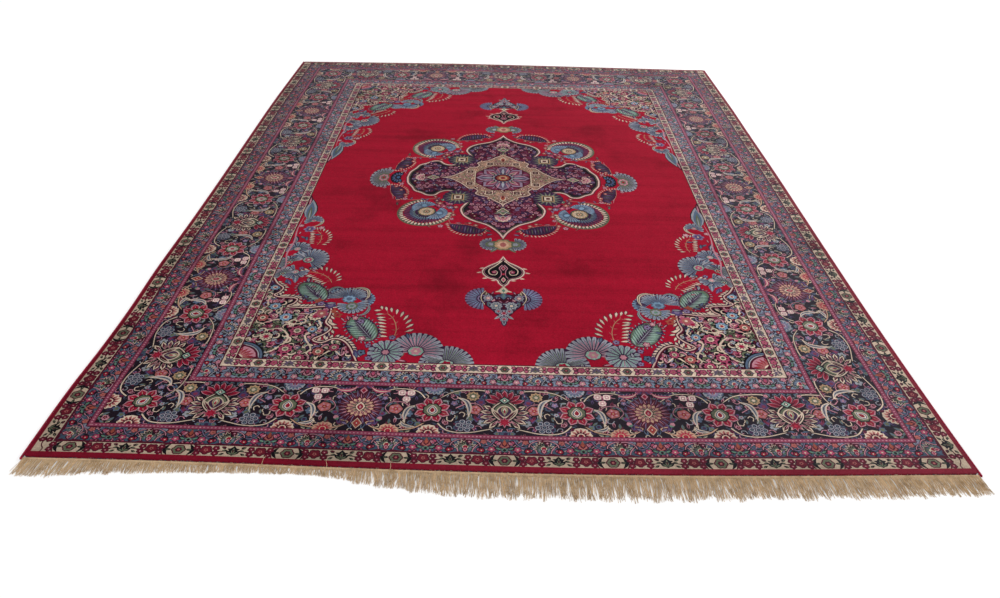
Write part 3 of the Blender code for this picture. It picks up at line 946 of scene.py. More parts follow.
def pendant_end():
    """The three-lobed flower that ends a pendant, drawn upwards from its top."""
    art = [("wine", smooth([98 + 13j, 112 + 58j, 100 + 108j, 62 + 150j, 34 + 190j, 228j, -34 + 190j,
                            -62 + 150j, -100 + 108j, -112 + 58j, -98 + 13j, -40 + 28j, 18j, 40 + 28j], 2,
                           True))]
    side = [("plum", np.append(70 * np.exp(1j * np.radians(np.arange(0, 181, 15))), 0))]
    side += put(plume(88, "sky", "violet", "lilac", 13, 180))
    side += nest(oval, "plum", 36, 32, "lilac", 28, 25, "navy", 20, 18)
    art += both(side, 104 + 64j, -90)
    dusky = [leaves("plum", 30, 13, "silver", 25, 6), floret(12, "rose", "cream", "plum"),
             leaves("plum", 28, 12, "rose", 22, 5), floret(11, "slate", "cream", "plum")]
    rand = random.Random(23)
    for x, y in ((12, 50), (36, 40), (60, 28), (24, 80), (52, 75), (10, 105), (72, 100), (80, 20),
                 (48, 145), (20, 150)):
        art += both(rand.choice(dusky), complex(x, y), rand.uniform(0, 360))
    art += put(leaves("navy", 62, 50, 0.4, 4, "slate", 52, 36, "green", 40, 10, 0.5, 3), 18j)
    art += both(leaves("plum", 50, 20, "slate", 44, 14, "navy", 30, 5), 4 + 32j, -66)
    art += both(scroll([-12 - 60j, 6 - 30j, 8 + 10j, -10 + 50j], "cream", 6), 102 + 62j)
    art += both(leaves("moss", 44, 15, "cream", 32, 4), 84 + 8j, -8)
    art += both(leaves("slate", 42, 17, "moss", 30, 6), 76 + 93j, 12)
    art += both(rosette(27, 8, ("plum", "silver", "plum", "rose", "cream")), 76 + 60j)
    art += both(rosette(34, 9, ("plum", "silver", "moss", "slate", "cream")), 37 + 120j)
    for at, size in ((176j, 30), (26 + 162j, 20), (218j, 22)):
        bloom = put(rosette(size, 7, ("plum", "silver", "plum", "rose", "crimson")), at)
        art += both(bloom) if at.real else bloom
    art += both(leaves("silver", 44, 14, "moss", 30, 4), 12 + 192j, -52)
    art += put(leaves("plum", 44, 28, "silver", 36, 18, "plum", 28, 8), 224j)
    return art


# ---- a corner of the field: x across and y along, from the field's corner ----------


def grey_fan(size, body="moss", tip="silver", heart="rose", rays=11, span=200):
    """A feathered half round about a small blossom."""
    return plume(size, body, "slate", tip, rays, span) + [
        ("plum", oval(size * 0.32, size * 0.28, 8)), ("mint", oval(size * 0.28, size * 0.24, 8)),
        (heart, lobed(size * 0.22, 6, 0.3, 2)), ("cream", oval(size * 0.07, points=4))]


def curl(points, wool="cream", width=13):
    """A broad curling leaf with a dark edge and a vein."""
    line = smooth(points, 3)
    return [("plum", swelling(line, width * 1.3)), (wool, swelling(line, width * 0.9)),
            ("moss", swelling(line[1:-1], width * 0.26))]


def veined_leaf(length, width):
    """A broad grey-green leaf with pale ribs and small teeth all round, its tip up."""
    inner = oval(width / 2, length / 2, 16)
    body = inner + 0.5j * length
    around = np.append(body, body[0])
    art = teeth(around, width * 0.15, width * 0.075, 28, -150, "plum")
    art += teeth(around, width * 0.12, width * 0.045, 28, -150, "silver")
    art += put([("plum", inner), ("moss", inner * 0.94), ("green", inner * 0.84)], 0.5j * length)
    for number in range(10):
        at = 1j * length * (0.03 + 0.080 * number)
        reach = width * 0.60 * math.sin(math.pi * min(0.26 + 0.066 * number, 1.0))
        art += both(leaves("plum", reach * 1.04, 10.5, 0.6, 3, "mint", reach, 8, "silver", reach * 0.7,
                           2.6, 0.6, 2), at, -50)
    return art + [("plum", leaf(length * 0.84, 9) + 0.06j * length),
                  ("silver", leaf(length * 0.8, 3.5) + 0.06j * length)]


def blue_cluster():
    """The light blue flower of feathered fans between pale curls."""
    art = put(plume(84, "slate", "silver", "sky", 13, 150), 305 + 392j, 12)
    art += put(plume(66, "slate", "plum", "sky", 11, 170), 392 + 384j, -44)
    art += put(plume(82, "sky", "slate", "silver", 15, 150), 350 + 396j, -4)
    art += put(plume(64, "sky", "slate", "silver", 13, 210), 370 + 346j, -168)
    art += put([("slate", lobed(32, 9, 0.2, 3)), ("sky", lobed(27, 9, 0.25, 2)),
                ("slate", oval(13, points=8))], 350 + 388j)
    art += put([("moss", oval(24, 28)), ("silver", lobed(20, 8, 0.25, 2)), ("green", oval(9, points=6))],
               368 + 335j)
    art += curl([258 + 420j, 262 + 462j, 288 + 480j, 318 + 470j], "silver")
    art += curl([345 + 462j, 385 + 476j, 418 + 456j, 426 + 410j, 416 + 380j])
    art += curl([432 + 352j, 440 + 316j, 428 + 284j, 404 + 272j], "silver")
    art += put([("violet", lobed(26, 5, 0.3, 3)), ("lilac", oval(12, points=6))], 282 + 340j)
    art += put([("orange", spiky(22, 5, 0.4)), ("crimson", oval(7, points=6))], 322 + 272j)
    art += put([("orange", spiky(16, 5, 0.4))], 302 + 298j)
    return art


def corner_outline():
    """The scrolling edge of the dark corner, and the dark corner's outline."""
    edge = smooth([575j, 30 + 515j, 62 + 478j, 52 + 440j, 36 + 420j, 62 + 402j, 110 + 398j, 138 + 384j,
                   130 + 352j, 108 + 330j, 150 + 322j, 200 + 322j, 250 + 330j, 286 + 320j, 290 + 270j,
                   284 + 225j, 312 + 190j, 290 + 150j, 254 + 118j, 292 + 100j, 330 + 126j, 366 + 120j,
                   396 + 90j, 418 + 50j, 440], 3)
    region = np.concatenate([edge, [-20 - 20j, -20 + 575j]])
    if twice_area(region) < 0:
        region = region[::-1]
    return edge, region


def dark_corner():
    """The dark corner inside the scroll, with its quarter fan, roses and vines."""
    edge, region = corner_outline()
    art = [("navy", region)]
    art += teeth(edge, 40, 17, 64, -46, "plum", 0.03, 0.97)
    art += teeth(edge, 36, 10.5, 64, -46, "cream", 0.03, 0.97)
    quarter = 88 * np.exp(1j * np.linspace(0, np.pi / 2, 9))
    bits = [floret(15, "rose", "crimson", "black"), floret(14, "pink", "cream", "wine"),
            floret(13, "slate", "cream", "black"), leaves("green", 30, 12, "cream", 20, 3),
            leaves("cream", 34, 12, "black", 22, 4), floret(12, "silver", "moss", "black", 6),
            leaves("pink", 30, 13, "wine", 20, 4), leaves("rose", 30, 10, "plum", 20, 4),
            [("moss", lobed(14, 5, 0.3, 2)), ("cream", oval(5, points=5))]]
    patches = [[("plum", lobed(24, 5, 0.25, 2))], [("wine", lobed(20, 5, 0.3, 2))],
               [("black", lobed(18, 5, 0.3, 2))], [("rosewood", lobed(18, 5, 0.3, 2))]]
    hook = smooth([-20 - 4j, -10 + 12j, 8 + 10j, 12 - 4j, 2 - 10j], 2)
    hooks = []
    for wool in ("cream", "rose", "moss", "cream", "lilac"):
        hooks.append([("black", swelling(hook, 12)), (wool, swelling(hook, 6.2))])
    art += scatter(region, 34, patches, 21, 6, (), False)
    art += scatter(region, 25, bits, 8, 10, (), False)
    art += scatter(region, 36, hooks, 12, 12, (), False)
    vines = ([60 + 20j, 120 + 50j, 160 + 120j, 120 + 180j, 60 + 170j],
             [200 + 20j, 260 + 60j, 220 + 140j, 270 + 200j, 220 + 270j, 150 + 280j],
             [20 + 200j, 90 + 240j, 160 + 210j, 220 + 230j], [20 + 420j, 30 + 340j, 90 + 310j, 70 + 250j],
             [300 + 20j, 340 + 60j, 380 + 30j])
    for points in vines:
        art += [("cream", swelling(smooth(points, 3), 6.8))]
    for x, y, size in ((165, 60, 30), (185, 170, 34), (75, 130, 28), (235, 262, 30), (60, 330, 27),
                       (120, 255, 28), (290, 50, 26), (345, 75, 22), (28, 480, 24), (30, 250, 26),
                       (225, 10, 26), (240, 180, 22)):
        seed = int(x)
        wools = (("black", "sky", "slate", "cream", "crimson"), ("black", "pink", "wine", "cream", "moss"),
                 ("black", "salmon", "crimson", "cream", "moss"),
                 ("black", "cream", "moss", "pink", "crimson"))[seed % 4]
        art += put(rosette(size, 8, wools), complex(x, y), seed)
    for wool, reach in (("black", 1.12), ("slate", 1.06), ("black", 0.96), ("silver", 0.93),
                        ("wine", 0.88)):
        art.append((wool, np.append(quarter * reach, 0)))
    for number in range(5):
        art += put(leaves("rose", 70, 24, 0.74, 3, "crimson", 65, 19, "salmon", 54, 8, 0.7), 0,
                   -9 - 18 * number)
    art += [("cream", oval(24, points=10)), ("wine", oval(16, points=8))]
    art += [("black", band(edge, 16)), ("wine", band(edge - 4 - 4j, 10)), ("rose", band(edge, 7)),
            ("cream", band(edge, 4.2))]
    art += put([("pink", lobed(30, 5, 0.3, 3)), ("salmon", lobed(22, 5, 0.3, 2)),
                ("cream", oval(7, points=6))], 256 + 282j)
    return art


def corner_row():
    """The row of palmettes and leaves outside the scroll."""
    art = put(comb_leaf(215, "cream", 11), 552 + 112j, 16)
    art += put(grey_fan(104, "moss", "silver", "crimson", 17, 190), 770 - 4j, -10)
    art += put(grey_fan(106, "rose", "silver", "rose", 17, 210), 652 + 66j, -4)
    art += put(leaves("moss", 60, 26, "rose", 50, 6), 560 + 20j, -60)
    art += put(plume(68, "mint", "slate", "silver", 15, 340)
               + [("plum", oval(19, points=8)), ("rose", lobed(15, 6, 0.3, 2))], 540 + 56j)
    art += put(floret(17, "slate", "navy"), 450 + 50j)
    art += put(leaves("violet", 50, 22, "slate", 36, 8), 440 + 20j, 20)
    art += put(veined_leaf(178, 112), 484 + 118j, 36)
    art += blue_cluster()
    art += put(veined_leaf(190, 112), 246 + 368j, 36)
    art += put([("orange", spiky(22, 5, 0.4))], 228 + 372j)
    art += put(comb_leaf(185, "cream", 11), 262 + 505j, 52)
    art += put(grey_fan(60, "slate", "silver", "rose", 11, 250), 84 + 612j, 150)
    art += put(grey_fan(46, "moss", "silver", "wine", 9, 220), 34 + 600j, 40)
    art += put(leaves("slate", 80, 26, "silver", 60, 8), 102 + 515j, 8)
    art += put(leaves("violet", 60, 20, "lilac", 40, 6), 88 + 500j, 30)
    art += put(grey_fan(92, "slate", "silver", "pink", 15, 220), 120 + 706j, -38)
    art += put(grey_fan(56, "moss", "silver", "crimson", 9, 220), 40 + 688j, 50)
    art += put(grey_fan(60, "slate", "silver", "rose", 9, 250), 50 + 800j, -20)
    art += put(leaves("plum", 70, 30, "silver", 60, 16, "plum", 40, 4), 30 + 850j, 10)
    art += put(comb_leaf(165, "cream", 11), 128 + 820j, 14)
    art += put([("lilac", lobed(30, 6, 0.3, 3)), ("violet", lobed(20, 6, 0.3, 2)),
                ("cream", oval(6, points=5))], 66 + 976j)
    art += curl([76 + 995j, 106 + 1020j, 112 + 1056j, 94 + 1082j])
    art += put(grey_fan(46, "slate", "silver", "pink", 9, 220), 68 + 1055j, 10)
    art += put(leaves("black", 200, 70, 0.45, 5, "silver", 192, 60, "slate", 170, 40, "moss", 130, 20,
                      0.45, 4, "silver", 100, 6, 0.45, 3), 40 + 1064j, 6)
    art += put(leaves("wine", 100, 20, "rose", 80, 8), 12 + 1200j, 4)
    sprays = [leaves("plum", 40, 18, "silver", 34, 10, "moss", 22, 3),
              leaves("wine", 34, 14, "rose", 28, 7), floret(14, "rose", "cream", "wine"),
              leaves("plum", 38, 16, "slate", 32, 10), floret(13, "lilac", "wine", "plum")]
    art += strewn(sprays, 31, ((215, 455), (175, 490), (150, 560), (175, 610), (110, 560), (60, 545),
                               (105, 640), (165, 655), (70, 745), (30, 745), (105, 800), (20, 830),
                               (75, 870), (40, 910), (100, 925), (30, 955), (20, 1010), (120, 985),
                               (335, 300), (360, 270), (395, 255), (420, 235), (395, 205), (355, 235),
                               (440, 130), (470, 90), (500, 50), (590, 15), (620, 135), (480, 20),
                               (555, 140), (700, 20), (240, 350), (300, 355), (205, 380), (160, 420)))
    art += [("rose", swelling(smooth([600j, 30 + 660j, 12 + 760j, 20 + 860j, 8 + 980j, 14 + 1100j], 3),
                              7))]
    return art


def field_corner():
    """All that stands in the near left corner of the field."""
    # The upper figures stand a little lower than they are drawn.
    heights, lower = (0, 100, 370, 600, 1060, 1270), (0, 4, 24, 50, 40, 15)
    return [(wool, line - 1j * np.interp(line.imag, heights, lower))
            for wool, line in dark_corner() + corner_row()]


# ---- the guards, each about its middle line, with the rug's inside up --------------------------


def blue_guard(step, wools, ground="guard", bright="pink"):
    """One repeat: a drop flower at 0, a fan palmette at half a step on either side."""
    vine, drop, heart, fan_wool, bloom = wools
    reach = step / 2
    arc = smooth([12 - 20j, 35 + 6j, 52 + 24j, 74 + 20j, 98 - 10j, 104 - 28j], 3)
    curlet = smooth([30 + 30j, 46 + 4j, 70 - 4j, 82 + 8j], 3)
    over = smooth([reach - 48 - 26j, reach - 46 + 10j, reach - 20 + 29j, reach + 29j], 3)
    cover = [leaves("silver", 22, 8.5, ground, 17, 4.5), [("navy", leaf(21, 9.5))],
             leaves("green", 20, 8, "navy", 14, 3), [("rose", leaf(18, 3.6))],
             [("wine", lobed(10, 5, 0.3, 2)), ("rose", oval(3.5, points=5))],
             nest(lobed, "navy", 11, 5, 0.3, 2, bright, 7), [("lilac", leaf(18, 5))]]
    art = both(ground_cover(reach, 31, 17.5, 7, cover))
    art += both([("navy", band(arc, 7.2)), (vine, band(arc, 3.6)), ("navy", band(curlet, 5.5)),
                 ("lilac", band(curlet, 2.6)), ("navy", band(over, 6.2)), ("rose", band(over, 3))])
    art += put(leaves("wine", 48, 40, 0.65, 4, drop, 42, 31, "wine", 36, 20, heart, 30, 13, 0.65, 3), 32j,
               180)
    art += [("green", leaf(20, 22, 0.5, 3) - 26j), ("navy", leaf(14, 12, 0.5, 3) - 24j)]
    art += both(leaves("navy", 26, 15, "green", 19, 8), 12 - 16j, -60)
    art += both(floret(12.5, bloom, "cream", "wine"), 42 - 14j)
    art += both(floret(11, drop, heart, "wine"), 68 + 20j)
    art += both(leaves("wine", 26, 15, "rose", 21, 10, bloom, 14, 5), 26 + 4j, 40)
    art += both(floret(9.5, "crimson", "cream"), 74 - 20j)
    palm = wheel(9, leaves("cream", 37, 12.5, 0.8, 3, "black", 33, 10, fan_wool, 26, 6, 0.7, 2), -95, 190)
    palm += [("cream", oval(10.5, points=8)), ("crimson", oval(8, points=6)), ("wine", leaf(26, 22) - 26j),
             ("rose", leaf(20, 14) - 22j), ("crimson", leaf(12, 6) - 18j)]
    return art + put(palm, reach - 6j)


def cream_guard(step, dark="black", bloom_wool="claret"):
    """One repeat: an olive rosette between crescents at 0, roses at a quarter, a bud at half."""
    quarter = step / 4
    moon = smooth([25j, -9 + 14j, -14, -9 - 14j, -25j], 2)
    art = both([("wine", swelling(moon, 10))], -43)
    art += both([(dark, swelling(moon, 12))], -30)
    art += put([*nest(lobed, "wine", 23.5, 6, 0.12, 3, "moss", 20, 6, 0.2, "wine", 12.5, 6, 0.25, 2),
                ("salmon", oval(4.5, points=6))], 0)
    art += both([("wine", band(smooth([50, quarter - 12 + 6j, quarter + 12 - 6j, 2 * quarter - 20], 3),
                               3.6))])
    bloom = [*nest(lobed, "wine", 22.5, 5, 0.2, 3, bloom_wool, 18.5, 5, 0.32, "salmon", 7.5, 5, 0.3, 2),
             ("wine", oval(3.5, points=5))]
    small = [("wine", lobed(13, 5, 0.2, 3)), (bloom_wool, lobed(9.4, 5, 0.3, 2)),
             ("rose", oval(2.8, points=5))]
    for spot in (-30 + 11j, -27 - 13j, 30 + 11j, 31 - 12j):
        art += both(small, quarter + spot)
    art += both(bloom, quarter + 2j)
    for spot, turn in ((-44, 90), (50 + 2j, -90), (44 - 19j, -60), (46 + 19j, -120)):
        art += both(leaves(dark, 19, 9.5, "moss", 12, 4), quarter + spot, turn)
    bud_here = [(dark, leaf(45, 28, 0.5, 4) - 21j), ("moss", leaf(30, 13, 0.5, 3) - 14j),
                ("wine", leaf(16, 6, 0.5, 2) - 8j)]
    bud_here += both(leaves(dark, 29, 14, "moss", 20, 6), -16j, -52)
    bud_here += both([(dark, leaf(22, 9))], 4j, -70)
    bud_here += both([("wine", leaf(18, 8))], 22 + 16j, -80)
    return art + put(bud_here, 2 * quarter)


# ---- the whole rug's drawing, in painter's order --------------------------------------------------

RED_BAND = 0.022            # distances from the rug's edge
CREAM_BAND = 0.070
LINE_BAND = 0.077
BLUE_BAND = 0.143
MAIN_BAND = 0.163
ROSE_BAND = 0.389
INNER_BLUE_BAND = 0.410
INNER_CREAM_BAND = 0.471
FIELD_BAND = 0.516
CREAM_MIDDLE = 0.046        # the guards' middle lines
BLUE_MIDDLE = 0.110
INNER_BLUE_MIDDLE = 0.440
INNER_CREAM_MIDDLE = 0.4935
LAP = 0.02                  # how far the field's red runs on under the border
SEAM = 0.002                # the dark lines that part the bands
SIDES = ((0, -1j, HALF_WIDTH, HALF_LENGTH), (90, 1, HALF_LENGTH, HALF_WIDTH),
         (180, 1j, HALF_WIDTH, HALF_LENGTH), (270, -1, HALF_LENGTH, HALF_WIDTH))


def dense(points, step=0.05):
    """A closed outline with a point at least every step, so that it can be bent."""
    line = []
    for start, stop in zip(points, np.roll(points, -1)):
        count = max(1, math.ceil(abs(stop - start) / step))
        line += list(start + (stop - start) * np.arange(count) / count)
    return np.array(line)


def ring(outer, inner, wool):
    """A band round the rug as four mitred strips."""
    art = []
    for turn, _, along, across in SIDES:
        strip = [complex(-(along - outer), -(across - outer)), complex(along - outer, -(across - outer)),
                 complex(along - inner, -(across - inner)), complex(-(along - inner), -(across - inner))]
        art += put([(wool, dense(strip))], turn=turn)
    return art


def round_the_rug(middle, make_side):
    """Side art laid along the middle line of a band, kept within each side's mitres."""
    art = []
    for turn, outwards, along, across in SIDES:
        reach = along - middle
        kept = []
        for wool, line in make_side(along == HALF_LENGTH, reach):
            centre = line.mean()
            if abs(centre.real) + centre.imag < reach:
                kept.append((wool, line))
        art += put(kept, outwards * (across - middle), turn)
    return art


def repeats(flower, count, reach):
    """A repeat laid out evenly, count and a half on each side or so, up to the mitre."""
    art = []
    for number in range(-math.ceil(count), math.ceil(count) + 1):
        art += put(flower, number * reach / count, size=MM)
    return art


def guard(middle, flower, long_count, short_count):
    """A guard's repeats round the rug; the counts are repeats to half a side."""
    return round_the_rug(middle, lambda is_long, reach: repeats(
        flower, long_count if is_long else short_count, reach))


def main_border(is_long, reach):
    """The main border of one side: lotuses, star flowers and sunbursts in turn."""
    step = reach / (7 if is_long else 5)
    half = border_half()
    art = []
    lotuses = (-6, -2, 2, 6) if is_long else (-4, 0, 4)
    for number in lotuses:
        art += put(both(half), number * step, size=MM)
    for number in lotuses:
        art += put(lotus(), number * step, size=MM)
    for number in ((-4, 0, 4) if is_long else (-2, 2)):
        art += put(sunburst(), number * step, size=MM)
    return art


def ticks(middle, pitch, wool, length, width):
    """A row of small ticks round the rug."""
    art = []
    for turn, outwards, along, across in SIDES:
        reach = along - middle
        places = np.arange(-reach, reach, pitch) + pitch / 2
        box = np.array([-1 - 1j, 1 - 1j, 1 + 1j, -1 + 1j])
        one = box.real * length / 2 + 1j * box.imag * width / 2
        art += put([(wool, one + at) for at in places], outwards * (across - middle), turn)
    return art


def corners(art, middle):
    """Art at the four corners of a band, turned to face the rug's middle."""
    out = []
    for turn, x, y in ((-45, -1, -1), (45, 1, -1), (135, 1, 1), (225, -1, 1)):
        out += put(art, complex(x * (HALF_WIDTH - middle), y * (HALF_LENGTH - middle)), turn, MM)
    return out


def whole_rug():
    """Every woven shape of the rug, the lowest first."""
    field_x = HALF_WIDTH - FIELD_BAND + LAP
    field_y = HALF_LENGTH - FIELD_BAND + LAP
    art = []
    for side in (-1, 1):
        edge = [0 - 1j * field_y, side * field_x - 1j * field_y, side * field_x + 1j * field_y,
                1j * field_y]
        art.append(("field", dense(edge)))
    corner = put(field_corner(), complex(-(HALF_WIDTH - FIELD_BAND), -(HALF_LENGTH - FIELD_BAND)), size=MM)
    for piece in (corner, put(corner, flip=True), put(corner, turn=180), put(corner, turn=180, flip=True)):
        art += piece
    art += put(pendant(), size=MM) + put(pendant(), turn=180, size=MM) + put(medallion(), size=MM)
    art += ring(MAIN_BAND, ROSE_BAND, "navy")
    art += round_the_rug((MAIN_BAND + ROSE_BAND) / 2, main_border)
    art += corners(star_flower(), (MAIN_BAND + ROSE_BAND) / 2)
    outer_wools = ("rose", "salmon", "orange", "moss", "pink")
    inner_wools = ("silver", "rose", "pink", "slate", "rose")
    art += ring(LINE_BAND, BLUE_BAND, "guard")
    art += guard(BLUE_MIDDLE, blue_guard(252.7, outer_wools), 7.5, 5.5)
    art += ring(INNER_BLUE_BAND, INNER_CREAM_BAND, "mist")
    art += guard(INNER_BLUE_MIDDLE, blue_guard(238, inner_wools, "mist", "silver"), 6.5, 4.5)
    for outer, inner in ((BLUE_BAND, MAIN_BAND), (ROSE_BAND, INNER_BLUE_BAND)):
        art += ring(outer, inner, "wine")
        art += ring(outer + SEAM, inner - SEAM, "braid")
        art += ticks((outer + inner) / 2, 0.0125, "rose", 0.006, 0.005)
    art += ring(RED_BAND, CREAM_BAND, "dusty")
    art += guard(CREAM_MIDDLE, cream_guard(342), 5.75, 4.25)
    art += ring(INNER_CREAM_BAND, FIELD_BAND, "cream")
    small_cream = put(cream_guard(292.6, "dusk", "pink"), size=0.76)
    art += guard(INNER_CREAM_MIDDLE, small_cream, 6.5, 4.5)
    art += ring(CREAM_BAND, LINE_BAND, "wine")
    art += ring(INNER_CREAM_BAND - 0.003, INNER_CREAM_BAND + 0.001, "wine")
    art += ring(FIELD_BAND - 0.003, FIELD_BAND + 0.002, "wine")
    art += ring(0.0, RED_BAND, "edge")
    return art


# ---- weaving: the drawing becomes one flat mesh, cut into pieces ---------------------------------

CLOTH_X = HALF_WIDTH - 2 * SELVEDGE_RADIUS


def as_vectors(points):
    return [Vector((point.real, point.imag)) for point in points]


def rim_depth(drawn):
    """How far points of the drawing lie in from the cloth's rounded outline."""
    depth = np.minimum(CLOTH_X - np.abs(drawn[:, 0]), HALF_LENGTH - np.abs(drawn[:, 1]))
    corner_x = np.abs(drawn[:, 0]) - (CLOTH_X - CORNER_RADIUS)
    corner_y = np.abs(drawn[:, 1]) - (HALF_LENGTH - CORNER_RADIUS)
    in_corner = (corner_x > 0) & (corner_y > 0)
    return np.where(in_corner, CORNER_RADIUS - np.hypot(corner_x, corner_y), depth)


def cloth_edge(depth):
    """The cloth's outline in the drawing, drawn in by a depth, with its corners rounded."""
    across, along, radius = CLOTH_X - depth, HALF_LENGTH - depth, CORNER_RADIUS - depth
    line = []
    for x, y, first in ((1, -1, -90), (1, 1, 0), (-1, 1, 90), (-1, -1, 180)):
        centre = complex(x * (across - radius), y * (along - radius))
        line += list(centre + radius * np.exp(1j * np.radians(first + np.array([0, 30, 60, 90]))))
    return dense(np.array(line))


OUTER_ROWS = (4, 5)          # rows of the near and far pieces' maps, and of the side pieces'
MAIN_ROWS = (3, 3)
PILE_PIECES = ("pile_guards_near", "pile_guards_far", "pile_guards_left", "pile_guards_right",
               "pile_border_near", "pile_border_far", "pile_border_left", "pile_border_right",
               "pile_field_left", "pile_field_right")
PILE_ROWS = (OUTER_ROWS[0], OUTER_ROWS[0], OUTER_ROWS[1], OUTER_ROWS[1],
             MAIN_ROWS[0], MAIN_ROWS[0], MAIN_ROWS[1], MAIN_ROWS[1], 2, 2)
PILE_REACH = (CLOTH_X, CLOTH_X, HALF_LENGTH, HALF_LENGTH) + (HALF_WIDTH - MAIN_BAND,) * 2 + (
    HALF_LENGTH - MAIN_BAND,) * 2 + (HALF_LENGTH - FIELD_BAND,) * 2


def cut_lines():
    """Where the cloth is cut into pieces and the pieces' maps into rows: (start, stop) points."""
    cuts = [(-1.99j, 1.99j), (-1.485 + 0j, 1.485 + 0j)]
    for depth, rows in ((0.0, OUTER_ROWS), (MAIN_BAND, MAIN_ROWS)):
        across = min(HALF_WIDTH - depth, CLOTH_X)
        along = HALF_LENGTH - depth
        for number in range(1, rows[0]):
            x = across * (2 * number / rows[0] - 1)
            cuts.append((x - 1j * along, x - 1j * (along - 0.40)))
            cuts.append((x + 1j * along, x + 1j * (along - 0.40)))
        for number in range(1, rows[1]):
            y = along * (2 * number / rows[1] - 1)
            cuts.append((-across + 1j * y, -(across - 0.40) + 1j * y))
            cuts.append((across + 1j * y, (across - 0.40) + 1j * y))
    return cuts


def place_of(centres):
    """Which piece of the pile and which row of its map each triangle is in, as one number."""
    depth_x = HALF_WIDTH - np.abs(centres[:, 0])
    depth_y = HALF_LENGTH - np.abs(centres[:, 1])
    depth = np.minimum(depth_x, depth_y)
    long_side = depth_x < depth_y
    side = np.where(long_side, 2 + (centres[:, 0] > 0), centres[:, 1] > 0).astype(int)
    level = np.searchsorted([MAIN_BAND, FIELD_BAND], depth)
    piece = np.where(level == 2, 8 + (centres[:, 0] > 0), side + 4 * (level == 1))
    rows, reach = np.array(PILE_ROWS)[piece], np.array(PILE_REACH)[piece]
    along = np.where(np.isin(piece, (0, 1, 4, 5)), centres[:, 0], centres[:, 1])
    row = np.clip(((along / reach + 1) / 2 * rows).astype(int), 0, rows - 1)
    rim = np.searchsorted([0.0008, PILE_ROUND], rim_depth(centres))
    return piece, row + 8 * rim


def first_of(root, at):
    """The triangle that stands for the whole area of another triangle."""
    while root[at] != at:
        root[at] = root[root[at]]
        at = root[at]
    return at


def halves(faces, count):
    """Every side of every triangle: its key, which is the same from both sides, and its ends."""
    starts = faces.ravel()
    stops = np.roll(faces, -1, axis=1).ravel()
    return np.minimum(starts, stops) * count + np.maximum(starts, stops), starts, stops


def fill(art):
    """Every shape of the drawing cut into triangles, with the top shape of each, and where it lies."""
    shapes = []
    for _, line in [("edge", cloth_edge(0.0))] + art:
        line = line if twice_area(line) > 0 else line[::-1]
        # A fold at a narrow tip turns the inside out there, so the longest side comes first.
        shapes.append(np.roll(line, -int(np.argmax(np.abs(np.roll(line, -1) - line)))))
    wools = [wool for wool, _ in [("edge", None)] + art]
    wool_number = np.array([list(WOOLS).index(wool) for wool in wools])
    points = np.concatenate(shapes)
    ends = np.cumsum([len(line) for line in shapes])
    loops = [list(range(stop - len(line), stop)) for stop, line in zip(ends, shapes)]
    edges = []
    for line in (cloth_edge(0.0008), cloth_edge(PILE_ROUND)):
        numbers = np.arange(len(line)) + len(points)
        edges += np.column_stack([numbers, np.roll(numbers, -1)]).tolist()
        points = np.concatenate([points, line])
    for cut in cut_lines():
        edges.append((len(points), len(points) + 1))
        points = np.concatenate([points, cut])
    made = delaunay_2d_cdt(as_vectors(points), edges, loops, 1, 1e-6, True)
    verts, faces = np.array([vert[:] for vert in made[0]]), np.array(made[2])
    owner = np.fromiter((shape for owners in made[5] for shape in owners), int)
    owned = np.repeat(np.arange(len(faces)), [len(owners) for owners in made[5]])
    centres = verts[faces].mean(axis=1)
    # A shape that folds over itself can spill out of its outline: it is filled again here.
    lows = np.array([(line.real.min(), line.imag.min()) for line in shapes]) - 1e-6
    highs = np.array([(line.real.max(), line.imag.max()) for line in shapes]) + 1e-6
    out = ((centres[owned] < lows[owner]) | (centres[owned] > highs[owner])).any(axis=1)
    spilt = np.unique(owner[out])
    good = ~np.isin(owner, spilt)
    owner, owned = owner[good], owned[good]
    for shape in spilt.tolist():
        within = np.flatnonzero(((centres > lows[shape]) & (centres < highs[shape])).all(axis=1))
        within = within[inside(shapes[shape], centres[within, 0] + 1j * centres[within, 1])]
        owner = np.append(owner, np.full(len(within), shape))
        owned = np.append(owned, within)
    tops = np.full(len(faces), -1)
    np.maximum.at(tops, owned, owner)
    cloth = np.zeros(len(faces), bool)
    cloth[owned[owner == 0]] = True
    faces, tops, centres = faces[cloth], tops[cloth], centres[cloth]
    piece, row = place_of(centres)
    label = (wool_number[tops] * 16 + piece) * 64 + row
    drawn_points = {number for number, origins in enumerate(made[3]) if origins}
    return len(shapes), wools, verts, faces, tops, label, drawn_points


def seen_sides(verts, faces, label, drawn_points):
    """The sides between unlike triangles, those joined that only a hidden cut had split."""
    keys, starts, stops = halves(faces, len(verts))
    owner_of = np.repeat(np.arange(len(faces)), 3)
    order = np.argsort(keys, kind="stable")
    same = keys[order][1:] == keys[order][:-1]
    first, second = order[:-1][same], order[1:][same]
    shows = label[owner_of[first]] != label[owner_of[second]]
    paired = np.zeros(len(keys), bool)
    paired[first] = paired[second] = True
    kept = np.concatenate([first[shows], second[shows], np.flatnonzero(~paired)])
    uses = np.bincount(np.concatenate([starts[kept], stops[kept]]), minlength=len(verts))
    ways = {}
    for side in kept.tolist():
        ways.setdefault(starts[side], []).append(side)
    plain = [vert for vert in ways if vert not in drawn_points and uses[vert] == 4 and len(ways[vert]) == 2]
    plain = set(plain)
    joined = []
    for side in kept.tolist():
        if starts[side] in plain:
            continue
        start, stop, before = starts[side], stops[side], starts[side]
        while stop in plain:
            onward = [way for way in ways[stop] if stops[way] != before]
            before, stop = stop, stops[onward[0]]
        joined.append((start, stop, side))
    return np.array(joined), owner_of


